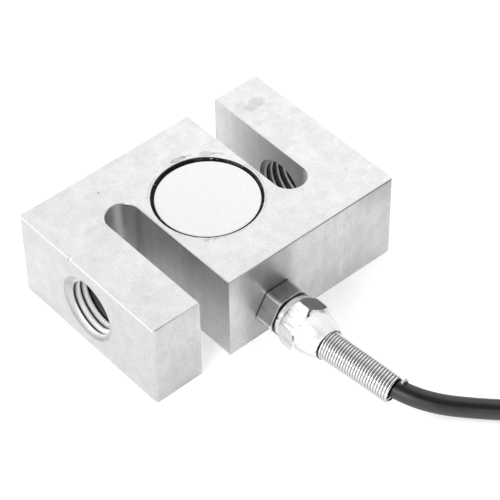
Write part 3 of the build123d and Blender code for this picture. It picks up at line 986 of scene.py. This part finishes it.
def slot_core(block, side):
    """The closed shape of one slot, open at one side and round at the other."""
    bm = bmesh.new()
    radius = block.slot_width / 2
    middle = side * (block_size.x / 2 - block.bar_width - radius)
    tip = block.near_tip if side < 0 else block.far_tip
    centre = Vector((middle, -side * (tip - radius), block_low.z - MM))
    first = bm.verts.new(centre + Vector((side * radius, 0, 0)))
    last = only(bmesh.types.BMVert, swept(bm, [first], 40, -math.pi, centre))[0]
    beyond = side * (block_size.y / 2 + MM)
    far_last = bm.verts.new((last.co.x, beyond, last.co.z))
    far_first = bm.verts.new((first.co.x, beyond, first.co.z))
    for pair in ((last, far_last), (far_last, far_first), (far_first, first)):
        bm.edges.new(pair)
    bmesh.ops.contextual_create(bm, geom=bm.edges[:])
    return raised(bm, block_size.z + 2 * MM)


class LOADCELL_OT_stage(Operator):
    """Sets up the bench, the soft light and the camera."""

    bl_idname = "load_cell.stage"
    bl_label = "Stage"

    def execute(self, context):
        stage = context.scene.load_cell.stage
        context.scene.view_settings.view_transform = "Standard"
        self.bench(stage)
        self.camera(context, stage)
        self.sky(context, stage)
        self.lamps(stage)
        return {"FINISHED"}

    def bench(self, stage):
        """A plain pale floor just under the block."""
        bm = bmesh.new()
        bmesh.ops.create_circle(bm, cap_ends=True, segments=64, radius=3.0)
        placed(bm, Matrix.Translation((0, 0, block_low.z - 0.05 * MM)))
        floor = new_piece("bench", bm)
        paint = Finish("pale_bench")
        paint.set(Base_Color=(0.9, 0.9, 0.9), Roughness=0.95)
        paint.set(Emission_Color=(1.0, 1.0, 1.0), Emission_Strength=stage.bench_glow)
        paint.feed(paint.surface.inputs["Specular IOR Level"], 0.1)
        floor.data.materials.append(paint.material)

    def viewer(self, stage):
        """The direction from the block to the camera."""
        a, e = stage.azimuth, stage.elevation
        return Vector((math.sin(a) * math.cos(e), -math.cos(a) * math.cos(e), math.sin(e)))

    def camera(self, context, stage):
        """The camera, at the angle and distance fitted to the block's corners."""
        eye = bpy.data.objects.new("camera", bpy.data.cameras.new("camera"))
        context.scene.collection.objects.link(eye)
        back = self.viewer(stage)
        level = Vector((0, 0, 1)).cross(back).normalized()
        upwards = back.cross(level)
        cosine, sine = math.cos(stage.roll), math.sin(stage.roll)
        right = cosine * level + sine * upwards
        up = cosine * upwards - sine * level
        turned_to = Matrix((right, up, back)).transposed().to_4x4()
        place = right * stage.right + up * stage.up + back * stage.distance
        eye.matrix_world = Matrix.Translation(place) @ turned_to
        eye.data.sensor_width = SENSOR_MM
        eye.data.lens = stage.focal_pixels * SENSOR_MM / PHOTO_PIXELS
        eye.data.clip_start = 0.01
        eye.data.clip_end = 20.0
        context.scene.camera = eye

    def sky(self, context, stage):
        """Soft white light from all round, dimmer on the side that the camera stands on."""
        world = bpy.data.worlds.new("studio")
        world.use_nodes = True
        context.scene.world = world
        shader = Shader(world.node_tree)
        direction = shader.node("ShaderNodeTexCoord", output="Generated")
        towards = shader.towards(direction, self.viewer(stage))
        east, north = shader.split(direction)[:2]
        level = (
            (1 - shader.mask(towards, 0.55, 0.95) * 0.6)
            * (1 - shader.mask(north * -1.0, -0.2, 0.8) * 0.65)
            * (1 + shader.mask(east * -1.0, 0.2, 0.9) * 0.3)
        )
        shader.feed(shader.nodes["Background"].inputs["Strength"], level * stage.sky)
        shader.feed(shader.nodes["Background"].inputs["Color"], (1.0, 1.0, 1.0))

    def lamps(self, stage):
        """A large lamp high on the left, one that shines into the holes and one behind on the right."""
        for name, place, edge, power in (
            ("key_lamp", (-0.55, 0.15, 0.75), 0.6, stage.key),
            ("hole_lamp", (-0.75, -0.35, 0.4), 0.3, stage.hole),
            ("fill_lamp", (0.5, 0.5, 0.5), 0.4, stage.fill),
        ):
            lamp = bpy.data.lights.new(name, "AREA")
            lamp.size = edge
            lamp.energy = power
            holder = bpy.data.objects.new(name, lamp)
            holder.location = place
            holder.rotation_euler = (-Vector(place)).to_track_quat("-Z", "Y").to_euler()
            bpy.context.scene.collection.objects.link(holder)


class LOADCELL_OT_lead(Operator):
    """Models the lead: its free stretch and its coil, as one spline."""

    bl_idname = "load_cell.lead"
    bl_label = "Lead"

    def execute(self, context):
        cell = context.scene.load_cell
        lead = cell.lead
        points = [*free_route(lead), *coil_route(lead)]
        cable = strand("lead", points, lead.diameter / 2, 10)
        cable.data.resolution_u = 8
        dress(cable, lead_sheath(cell), "cable_sheath", "cable", "cable_coil")
        return {"FINISHED"}


def strand(name, points, radius, roundness):
    """A round cord along one smooth open spline."""
    curve = bpy.data.curves.new(name, "CURVE")
    curve.dimensions = "3D"
    spline = curve.splines.new("NURBS")
    spline.points.add(len(points) - 1)
    for control, point in zip(spline.points, points):
        control.co = (*point, 1.0)
    spline.order_u = 3
    spline.use_endpoint_u = True
    curve.bevel_depth = radius
    curve.bevel_resolution = roundness
    curve.use_fill_caps = True
    curve.resolution_u = 12
    piece = bpy.data.objects.new(name, curve)
    bpy.context.scene.collection.objects.link(piece)
    return piece


def coil_centre(lead):
    """The foot of the coil's axis."""
    return Vector((lead.coil_x, lead.coil_y, 0))


def coil_outer(lead):
    """Radius of the outermost turns."""
    return lead.middle_radius + (lead.wide - 1) / 2 * lead.spacing


def on_coil(lead, angle, radius, height):
    """A point of the coil."""
    across = Vector((math.cos(angle), math.sin(angle), 0)) * radius
    return coil_centre(lead) + across + Vector((0, 0, height))


def coil_place(lead, angle, radius, height):
    """A place on the coil whose X points outwards."""
    return Matrix.Translation(on_coil(lead, angle, radius, height)) @ Matrix.Rotation(angle, 4, "Z")


def free_route(lead):
    """The free stretch, from the gland to the coil. Points listed in millimetres."""
    entry = on_coil(lead, lead.entry_angle, coil_outer(lead), lead.diameter / 2)
    heading = Vector((-math.sin(lead.entry_angle), math.cos(lead.entry_angle), 0))
    last_run = 22.0 * MM
    chosen = (
        (0.0, -33.0, 8.0),
        (0.0, -43.2, 8.0),
        (3.47, -62.24, 5.61),
        (8.3, -70.6, 3.7),
        (15.2, -77.4, 2.5),
        (24.6, -87.0, 2.5),
    )
    return [*(Vector(point) * MM for point in chosen), entry - heading * last_run, entry]


def eased(share_of_step):
    """A smooth step from 0 to 1."""
    clamped = min(max(share_of_step, 0.0), 1.0)
    return clamped * clamped * (3 - 2 * clamped)


def wound(lead, turning):
    """Which slot of its layer, and which layer, the coil has reached after some turning."""
    first = math.tau - lead.shift
    slot = 0.0
    layer = 0.0
    for index in range(lead.layers):
        start = first + index * (lead.wide * math.tau - 2 * lead.shift)
        inwards = 1 if index % 2 == 0 else -1
        for step in range(lead.wide - 1):
            slot += inwards * eased((turning - start - step * math.tau) / lead.shift)
        if index < lead.layers - 1:
            climb = start + (lead.wide - 1) * math.tau - lead.shift
            layer += eased((turning - climb) / lead.shift)
    return slot, layer


def coil_route(lead):
    """The coil's turns: each layer is wound inwards or outwards, then steps up to the next."""
    point_step, squeeze_reach = math.radians(15), math.radians(28)
    tail_reach, tail_ease = math.radians(45), math.radians(30)
    count = round(lead.turning / point_step)
    step = lead.turning / count
    outside = 1 / math.cos(step / 2)
    points = []
    for index in range(count):
        turning = (index + 0.5) * step
        slot, layer = wound(lead, turning)
        angle = lead.entry_angle + turning
        tail = eased((turning - lead.turning + tail_reach) / tail_ease)
        radius = coil_outer(lead) - slot * lead.spacing + tail * lead.tail_shift
        height = lead.diameter * (layer + 0.5) + tail * lead.sleeve_wall
        from_tie = abs((angle - lead.tie_angle + math.pi) % math.tau - math.pi)
        lift = eased(1 - from_tie / squeeze_reach) * (1 - layer / (lead.layers - 1))
        points.append(on_coil(lead, angle, radius * outside, height + lift * lead.tie_thick))
    end_radius = coil_outer(lead) + lead.tail_shift
    end_height = lead.diameter * (lead.layers - 0.5) + lead.sleeve_wall
    points.append(on_coil(lead, lead.entry_angle + lead.turning, end_radius, end_height))
    return points


class LOADCELL_OT_lead_end(Operator):
    """Models the stripped end of the lead: sleeve, cores, drain wire and tips."""

    bl_idname = "load_cell.lead_end"
    bl_label = "Lead end"

    def execute(self, context):
        cell = context.scene.load_cell
        lead = cell.lead
        tail_radius = coil_outer(lead) + lead.tail_shift
        tail_end = lead.entry_angle + lead.turning
        shelf = lead.diameter * (lead.layers - 1)
        height = shelf + lead.diameter / 2 + lead.sleeve_wall
        self.sleeve(lead, tail_radius, tail_end, height)
        tips = []
        share_of_bunch = lead.bunch_radius / math.sqrt(2)
        mouth = tail_end + lead.sleeve_past
        rest = shelf + lead.core_radius
        drain_gap, tip_share = 0.1 * MM, 0.6
        lift = math.sqrt(
            (lead.core_radius + lead.drain_radius) ** 2 - (lead.core_spacing / 2) ** 2
        )
        tinned = metal("tinned_wire", (0.7, 0.69, 0.66), 0.25)
        for colour, across, up, place in (
            ("red", -1, 1, -1.5),
            ("black", -1, -1, -0.5),
            ("green", 1, -1, 0.5),
            ("white", 1, 1, 1.5),
            ("drain", 0, 0, 0.0),
        ):
            if colour == "drain":
                radius = lead.drain_radius
                fan = (0.0, rest + lift + drain_gap)
                material = tinned
                slot = "tinned_metal"
            else:
                radius = lead.core_radius
                fan = (place * lead.core_spacing, rest)
                shades = CORE_COLOURS[colour]
                material = plastic(f"insulation_{colour}", shades, 0.35, 1500.0, 0.006)
                slot = f"core_{colour}"
            bunch = (across * share_of_bunch, height + up * share_of_bunch)
            stations = (
                (tail_end + math.radians(0.5), bunch),
                (mouth - math.radians(2), bunch),
                (mouth + lead.core_angle / 3, fan),
                (mouth + lead.core_angle * 2 / 3, fan),
                (mouth + lead.core_angle, fan),
            )
            route = [on_coil(lead, angle, tail_radius + x, z) for angle, (x, z) in stations]
            piece = strand(f"{colour}_core", route, radius, 4)
            dress(piece, material, slot, f"core_{colour}")
            tips.append((route[-1], (route[-1] - route[-2]).normalized(), radius * tip_share))
        self.tips(lead, tips, tinned)
        return {"FINISHED"}

    def sleeve(self, lead, radius, tail_end, height):
        """The shrunk sleeve: a ring swept round the coil's axis, with rolled ends."""
        bm = bmesh.new()
        start = tail_end - lead.sleeve_over
        upright = Matrix.Rotation(math.radians(90), 4, "X")
        place = coil_place(lead, start, radius, height) @ upright
        outer = lead.diameter / 2 + lead.sleeve_wall
        made = bmesh.ops.create_circle(bm, segments=32, radius=outer, matrix=place)
        sweep = lead.sleeve_over + lead.sleeve_past
        swept(bm, made["verts"] + bm.edges[:], 32, sweep, coil_centre(lead))
        bmesh.ops.recalc_face_normals(bm, faces=bm.faces)
        piece = new_piece("end_sleeve_shrunk", bm)
        wall = piece.modifiers.new("wall", "SOLIDIFY")
        wall.thickness = lead.sleeve_wall
        wall.offset = -1.0
        bake(piece)
        smooth(piece, 40.0, weighted=False)
        dress(piece, plastic("shrunk_sleeve", (0.015, 0.015, 0.015), 0.5), "sleeve", "end_sleeve")

    def tips(self, lead, tips, material):
        """Twisted strands, tinned: a lobed rod with a slow twist for each tip."""
        bm = bmesh.new()
        strands, steps = 7, 16
        groove, twist_step = 0.16, math.radians(14)
        for end, heading, radius in tips:
            ring = bmesh.ops.create_circle(bm, segments=strands * 4, radius=radius)["verts"]
            twist = Matrix.Rotation(twist_step, 3, heading)
            for index, vert in enumerate(ring):
                vert.co *= 1.0 - groove * (0.5 - 0.5 * math.cos(index * math.tau / 4))
            bmesh.ops.transform(bm, matrix=facing(heading, end), verts=ring)
            edges = list({edge for vert in ring for edge in vert.link_edges})
            bmesh.ops.contextual_create(bm, geom=edges)
            for _ in range(steps):
                grown = bmesh.ops.extrude_edge_only(bm, edges=edges)["geom"]
                verts = only(bmesh.types.BMVert, grown)
                edges = only(bmesh.types.BMEdge, grown)
                bmesh.ops.translate(bm, verts=verts, vec=heading * lead.tip_length / steps)
                bmesh.ops.rotate(bm, verts=verts, cent=end, matrix=twist)
            bmesh.ops.contextual_create(bm, geom=edges)
        bmesh.ops.recalc_face_normals(bm, faces=bm.faces)
        piece = new_piece("stripped_tips", bm)
        smooth(piece, 50.0, weighted=False)
        dress(piece, material, "tinned_metal", "core_tips")


class LOADCELL_OT_tie(Operator):
    """Models the tie round the coil."""

    bl_idname = "load_cell.tie"
    bl_label = "Tie"

    def execute(self, context):
        lead = context.scene.load_cell.lead
        low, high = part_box("coil_tie")
        thick = lead.tie_thick
        slack = 0.2 * MM
        corner_round = thick + 0.25 * MM
        wide = (lead.wide - 1) * lead.spacing + lead.diameter + slack + 2 * thick
        tall = high.z - low.z
        half = lead.tie_width / 2
        bm = box((-wide / 2, -half, 0), (wide / 2, half, tall))
        long_edges = [
            edge for edge in bm.edges if abs(edge.verts[0].co.y - edge.verts[1].co.y) > half
        ]
        rounded(bm, long_edges, corner_round, 6)
        sides = [face for face in bm.faces if abs(face.normal.y) > 0.99]
        bmesh.ops.inset_individual(bm, faces=sides, thickness=thick, use_even_offset=True)
        rims = [edge for face in sides for edge in face.edges]
        bmesh.ops.delete(bm, geom=sides, context="FACES_ONLY")
        bmesh.ops.bridge_loops(bm, edges=rims)
        bmesh.ops.recalc_face_normals(bm, faces=bm.faces)
        place = coil_place(lead, lead.tie_angle, lead.middle_radius, 0)
        piece = new_piece("coil_tie_band", placed(bm, place))
        head = lead.tie_head / 2
        head_round = 0.35 * MM
        middle = (tall - thick) / 2
        inside = (wide - thick) / 2
        block = box((inside, -head, middle - head), (inside + 2.4 * thick, head, middle + head))
        rounded(block, block.edges[:], head_round, 2)
        combine(piece, placed(block, place), "UNION")
        smooth(piece, 35.0)
        dress(piece, plastic("tie_nylon", (0.02, 0.02, 0.02), 0.42, 700.0), "tie_plastic", "coil_tie")
        return {"FINISHED"}


class LOADCELL_OT_block(Operator):
    """Models the S-shaped block with its seats, bores and threads."""

    bl_idname = "load_cell.block"
    bl_label = "Block"

    def execute(self, context):
        cell = context.scene.load_cell
        bm = box(block_low, block_high)
        rounded(bm, upright_edges(bm), cell.block.corner_radius, 5)
        piece = new_piece("threaded_block", bm)
        for side in (-1, 1):
            combine(piece, slot_core(cell.block, side), "DIFFERENCE")
        self.break_rims(piece, cell.block.edge_break)
        for core in self.cores(cell):
            combine(piece, core, "DIFFERENCE")
        nick = bmesh.new()
        nick_radius, nick_y, nick_out = 0.8 * MM, 5.5 * MM, 0.1 * MM
        nick_place = Matrix.Translation((block_low.x - nick_out, nick_y, block_high.z + nick_out))
        bmesh.ops.create_icosphere(nick, subdivisions=2, radius=nick_radius, matrix=nick_place)
        combine(piece, nick, "DIFFERENCE")
        smooth(piece, 32.0)
        dress(piece, satin_nickel(cell), "body_steel", "body")
        return {"FINISHED"}

    def break_rims(self, piece, width):
        """Bevels the rims of both large faces."""
        bm = bmesh.new()
        bm.from_mesh(piece.data)
        flat = [face for face in bm.faces if abs(face.normal.z) > 0.99]
        rims = {edge for face in flat for edge in face.edges}
        sharp = [edge for edge in rims if edge.calc_face_angle(0.0) > math.radians(60)]
        rounded(bm, sharp, width, 3)
        bm.to_mesh(piece.data)
        bm.free()

    def cores(self, cell):
        """The closed shapes of everything that is bored or milled out of the block."""
        cover = cell.cover
        seat_radius = (cover.radius + cover.sealant_width) / MM
        seat_depth = (cover.recess + cover.thickness) / MM
        pocket_radius = (cover.radius - cover.ledge) / MM
        pocket_depth = (block_size.z - cover.web) / 2 / MM
        rim = 0.12
        seat = (
            (0, 1.0),
            (seat_radius + rim + 1.0, 1.0),
            (seat_radius, -rim),
            (seat_radius, -seat_depth),
            (pocket_radius, -seat_depth),
            (pocket_radius, -pocket_depth),
            (0, -pocket_depth),
        )
        for place in (upper_face, lower_face):
            yield placed(turned(seat, 160), place)
        hole = cover.web_hole_radius / MM
        yield placed(
            turned(((0, -3), (hole, -3), (hole, 3), (0, 3)), 32),
            Matrix.Translation((cover.web_hole_place, 0, block_middle.z)),
        )
        gland = cell.gland
        stub = gland.stub_radius / MM + 0.05
        way = gland.cable_way / MM + 0.1
        stub_depth = gland.stub_length / MM + 1
        way_depth = (block_size.y / 2) / MM - pocket_radius / 2
        bore = (
            (0, 1),
            (stub, 1),
            (stub, -stub_depth),
            (way, -stub_depth),
            (way, -way_depth),
            (0, -way_depth),
        )
        yield placed(turned(bore, 48), gland_place)
        thread = cell.thread
        slope = (thread.mouth_radius - thread.crest_radius) / thread.mouth_depth
        outside = 0.4 * MM
        deep = thread.mouth_depth * 1.5
        countersink = (
            (0, -outside / MM),
            ((thread.mouth_radius + slope * outside) / MM, -outside / MM),
            ((thread.mouth_radius - slope * deep) / MM, deep / MM),
            (0, deep / MM),
        )
        first_ridge = -1.2 * MM
        through = cell.block.bar_width + cell.block.slot_width / 2
        for side in (-1, 1):
            inwards = Matrix(
                (
                    (0, 0, -side, side * block_size.x / 2),
                    (1, 0, 0, 0),
                    (0, -side, 0, block_middle.z),
                    (0, 0, 0, 1),
                )
            )
            yield placed(threaded_core(thread, first_ridge, through), inwards)
            yield placed(turned(countersink), inwards)


class LOADCELL_OT_covers(Operator):
    """Models both covers and the sealant round them."""

    bl_idname = "load_cell.covers"
    bl_label = "Covers"

    def execute(self, context):
        cell = context.scene.load_cell
        plate = cover_plate(cell.colours)
        black = black_sealant(cell)
        for name, place in (("top", upper_face), ("bottom", lower_face)):
            self.plate(cell.cover, name, place, plate)
            self.sealant(cell.cover, name, place, black)
        return {"FINISHED"}

    def plate(self, cover, name, place, material):
        """One cover plate with a rolled edge."""
        radius = cover.radius / MM
        top = -cover.recess / MM
        bottom = top - cover.thickness / MM
        edge = 0.15
        bm = turned(
            (
                (0, top),
                (radius * 0.5, top),
                (radius - 3 * edge, top),
                (radius - edge, top),
                (radius - 0.3 * edge, top - 0.3 * edge),
                (radius, top - edge),
                (radius, bottom + edge),
                (radius - edge, bottom),
                (0, bottom),
            ),
            160,
        )
        shift = Matrix.Translation(Vector((-0.35, -0.94, 0)) * cover.off_centre)
        piece = new_piece(f"{name}_cover_plate", placed(bm, shift @ place))
        smooth(piece, 30.0)
        dress(piece, material, "cover_steel", f"{name}_cover")

    def sealant(self, cover, name, place, material):
        """One ring of sealant, uneven on its open side."""
        inner = cover.radius / MM
        outer = inner + cover.sealant_width / MM
        top = -(cover.recess + cover.sealant_sink) / MM
        bottom = -(cover.recess + cover.thickness) / MM
        across = cover.sealant_width / MM
        bm = turned(
            (
                (inner, bottom),
                (outer, bottom),
                (outer, top + 0.08),
                (outer - 0.25 * across, top - 0.12),
                (outer - 0.55 * across, top - 0.18),
                (inner + 0.2 * across, top - 0.1),
                (inner, top),
            ),
            200,
            ring=True,
        )
        for vert in bm.verts:
            if vert.co.z > (bottom + 0.1) * MM:
                vert.co.z += 0.13 * MM * noise.noise(vert.co * 700.0)
        piece = new_piece(f"{name}_sealant_ring", placed(bm, place))
        smooth(piece, 60.0, weighted=False)
        dress(piece, material, "sealant", f"{name}_sealant")


class LOADCELL_OT_gland(Operator):
    """Models the gland's body and its cap nut."""

    bl_idname = "load_cell.gland"
    bl_label = "Gland"

    def execute(self, context):
        cell = context.scene.load_cell
        self.body(cell)
        self.cap_nut(cell)
        return {"FINISHED"}

    def body(self, cell):
        """Hexagon, stub and neck, trimmed from one bar and bored."""
        gland = cell.gland
        end = gland.hexagon_length / MM
        corner = corner_of(gland.across) / MM
        stub = gland.stub_radius / MM
        stub_end = -gland.stub_length / MM
        thread = gland.thread_radius / MM
        thread_end = gland.thread_end / MM
        start = gland.nut_start / MM
        corner_cut = 0.3
        lead_in = 0.4
        groove_inner, groove_outer, groove_depth = 4.45, 5.35, 0.8
        outline = (
            (0, stub_end),
            (stub - lead_in, stub_end),
            (stub, stub_end + lead_in),
            (stub, 0),
            (groove_inner, 0),
            (groove_inner, groove_depth),
            (groove_outer, groove_depth),
            (groove_outer, 0),
            (corner + 0.2, 0),
            (corner + 0.2, end - corner_cut - 0.12),
            (corner - 1.7 * corner_cut, end),
            (thread - 0.5, end),
            (thread - 0.5, start),
            (thread, start + lead_in),
            (thread, thread_end - lead_in),
            (thread - lead_in, thread_end),
            (0, thread_end),
        )
        bm = hexagon(gland.across, (stub_end - 1) * MM, (thread_end + 1) * MM, 0.0)
        piece = new_piece("gland_hexagon", bm)
        combine(piece, turned(outline, 120), "INTERSECT")
        self.break_ends(piece, gland)
        way = gland.cable_way / MM
        grommet_radius, grommet_start = 3.8, 6.2
        bore = (
            (0, stub_end - 1),
            (way, stub_end - 1),
            (way, grommet_start),
            (grommet_radius, grommet_start),
            (grommet_radius, thread_end + 1),
            (0, thread_end + 1),
        )
        combine(piece, turned(bore, 64), "DIFFERENCE")
        piece.data.transform(gland_place)
        smooth(piece, 28.0)
        dress(piece, brushed_gland(cell.colours, gland), "gland_steel", "gland_body")

    def break_ends(self, piece, gland):
        """Breaks the edges round both ends of the hexagon."""
        bm = bmesh.new()
        bm.from_mesh(piece.data)
        bmesh.ops.remove_doubles(bm, verts=bm.verts, dist=1e-6)
        outside = gland.across / 2 - 0.2 * MM
        back_break, front_break = 0.2 * MM, 0.11 * MM
        for height, width in ((0.0, back_break), (gland.hexagon_length, front_break)):
            ends = [
                edge
                for edge in bm.edges
                if all(
                    abs(vert.co.z - height) < 1e-6 and vert.co.xy.length > outside
                    for vert in edge.verts
                )
                and edge.calc_face_angle(0.0) > math.radians(20)
            ]
            rounded(bm, ends, width, 2)
        bm.to_mesh(piece.data)
        bm.free()

    def cap_nut(self, cell):
        """Turned hexagon and domed nose, trimmed from one bar and bored."""
        gland = cell.gland
        spring = cell.spring
        corner = corner_of(gland.across) / MM
        start = gland.nut_start / MM
        flats_end = gland.nut_hexagon_end / MM
        mouth = gland.nut_mouth / MM
        mouth_radius = gland.nut_mouth_radius / MM
        collar = gland.nut_collar / MM
        rolled = 0.06
        nose_start, nose_radius = flats_end + 1.05, 5.87
        nose_end, nose_end_radius = mouth - 0.3, mouth_radius + 0.1
        nose = []
        nose_steps = 14
        for index in range(1, nose_steps + 1):
            along = index / nose_steps
            drop = 0.38 * along + 0.62 * along * along
            radius = nose_radius - (nose_radius - nose_end_radius) * drop
            nose.append((radius, nose_start + (nose_end - nose_start) * along))
        outline = (
            (0, start),
            (collar - 0.2, start),
            (collar - rolled, start + rolled),
            (collar, start + 0.2),
            (collar, start + 1.25),
            (collar + 0.15, start + 1.4),
            (corner, start + 2.45),
            (corner, flats_end),
            (corner - 0.9, flats_end + 0.85),
            (nose_radius, nose_start),
            *nose,
            (mouth_radius + 0.04, mouth - rolled),
            (mouth_radius - 0.05, mouth),
            (0, mouth),
        )
        bm = hexagon(gland.across, (start - 1) * MM, (mouth + 1) * MM, gland.nut_turn)
        piece = new_piece("cap_nut_bright", bm)
        combine(piece, turned(outline, 144), "INTERSECT")
        thread = gland.thread_radius / MM + 0.05
        way = gland.cable_way / MM + 0.3
        seat = spring.outer_radius / MM + 0.15
        shoulder = 12.0
        spring_seat = mouth - 1.9
        bore = (
            (0, start - 1),
            (thread, start - 1),
            (thread, shoulder),
            (way, shoulder),
            (way, spring_seat),
            (seat, spring_seat),
            (seat, mouth + 1),
            (0, mouth + 1),
        )
        combine(piece, turned(bore, 96), "DIFFERENCE")
        piece.data.transform(gland_place)
        smooth(piece, 28.0)
        dress(piece, nut_plate(cell.colours, gland), "nut_chrome", "gland_cap_nut")


class LOADCELL_OT_spring(Operator):
    """Models the strain-relief spring in round wire."""

    bl_idname = "load_cell.spring"
    bl_label = "Spring"

    def execute(self, context):
        cell = context.scene.load_cell
        spring = cell.spring
        per_turn = 40
        around = 10
        steps = round(spring.turns * per_turn)
        bm = bmesh.new()
        radius = spring.outer_radius - spring.wire_radius
        place = Matrix.Translation((radius, 0, 0)) @ Matrix.Rotation(math.radians(90), 4, "X")
        ring = bmesh.ops.create_circle(bm, segments=around, radius=spring.wire_radius, matrix=place)
        first = bm.edges[:]
        sweep = math.tau * steps / per_turn
        last = swept(bm, ring["verts"] + first, steps, sweep, rise=spring.pitch / per_turn)
        for rim in (first, only(bmesh.types.BMEdge, last)):
            bmesh.ops.edgeloop_fill(bm, edges=rim)
        bmesh.ops.recalc_face_normals(bm, faces=bm.faces)
        bm.verts.index_update()
        # Narrower towards the end, where the last turn has been pulled open
        for vert in bm.verts:
            to_end = (steps - vert.index // around) / per_turn
            from_axis = vert.co.xy.length
            narrower = spring.taper * (1 - to_end / spring.turns)
            narrower -= spring.flare * eased(1 - to_end / 0.5)
            vert.co.xy *= (from_axis - narrower) / from_axis
            vert.co.z += spring.opening * eased((0.5 - to_end) / 0.4)
        start, axis = spring_line(cell)
        placed(bm, facing(axis, start) @ Matrix.Rotation(spring.end_angle - sweep, 4, "Z"))
        # Bent a little to the side that the lead pulls it to
        bent_length = spring.turns * spring.pitch / 2
        for vert in bm.verts:
            past_middle = (vert.co - start).dot(axis) - bent_length
            if past_middle > 0:
                vert.co += Vector(spring.pull) * (past_middle / bent_length) ** 2
        piece = new_piece("relief_spring", bm)
        smooth(piece, 60.0, weighted=False)
        dress(piece, spring_plate(cell.colours), "spring_chrome", "strain_relief_spring")
        return {"FINISHED"}


class LOADCELL_OT_inner(Operator):
    """Finishes the pieces inside the block and the gland."""

    bl_idname = "load_cell.inner"
    bl_label = "Inner pieces"

    def execute(self, context):
        film = gauge_film()
        rubber = plastic("gland_rubber", (0.03, 0.03, 0.03), 0.6, 900.0)
        steel = metal("washer_steel", (0.6, 0.6, 0.59), 0.3)
        tinned = metal("solder", (0.68, 0.68, 0.67), 0.3)
        for name, material in (
            ("top_gauge", film),
            ("bottom_gauge", film),
            ("jumper_ribbon", plastic("ribbon_film", (0.6, 0.34, 0.1), 0.4)),
            ("terminal_board", plastic("board_resin", (0.08, 0.26, 0.1), 0.45, 2200.0)),
            ("solder_pads", tinned),
            ("trim_resistors", plastic("resistor_lacquer", (0.28, 0.46, 0.58), 0.3)),
            *(
                (f"inner_lead_{colour}", plastic(f"inner_{colour}", shades, 0.35))
                for colour, shades in CORE_COLOURS.items()
            ),
            ("gland_seal", rubber),
            ("gland_grommet", rubber),
            ("gland_washer", steel),
            ("cable_inner_end", lead_sheath(context.scene.load_cell)),
        ):
            dress_node(name, material)
        return {"FINISHED"}


class LOADCELL_OT_declare(Operator):
    """Reads the first point of the lead's route and keeps nothing."""

    bl_idname = "load_cell.declare"
    bl_label = "Declare the lead"

    def execute(self, context):
        lead = context.scene.load_cell.lead
        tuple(free_route(lead)[0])
        return {"FINISHED"}


class LOADCELL_PT_panel(Panel):
    """Lists the load cell's pieces in the sidebar."""

    bl_idname = "LOADCELL_PT_panel"
    bl_label = "Load cell"
    bl_space_type = "VIEW_3D"
    bl_region_type = "UI"
    bl_category = "Load cell"

    def draw(self, context):
        for operator in OPERATORS:
            self.layout.operator(operator.bl_idname)


GROUPS = (
    BlockSizes,
    ThreadSizes,
    CoverSizes,
    GlandSizes,
    SpringSizes,
    LeadSizes,
    StageSettings,
    FinishColours,
    LoadCell,
)
OPERATORS = (
    LOADCELL_OT_stage,
    LOADCELL_OT_lead,
    LOADCELL_OT_lead_end,
    LOADCELL_OT_tie,
    LOADCELL_OT_block,
    LOADCELL_OT_covers,
    LOADCELL_OT_gland,
    LOADCELL_OT_spring,
    LOADCELL_OT_inner,
    LOADCELL_OT_declare,
)


def register():
    """Registers the add-on's classes."""
    for item in (*GROUPS, *OPERATORS, LOADCELL_PT_panel):
        bpy.utils.register_class(item)
    bpy.types.Scene.load_cell = PointerProperty(type=LoadCell)


def unregister():
    """Takes the add-on's classes out again."""
    del bpy.types.Scene.load_cell
    for item in reversed((*GROUPS, *OPERATORS, LOADCELL_PT_panel)):
        bpy.utils.unregister_class(item)


def main():
    """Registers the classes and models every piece."""
    register()
    for operator in OPERATORS:
        getattr(bpy.ops.load_cell, operator.bl_idname.split(".")[1])()


if __name__ == "__main__":
    main()
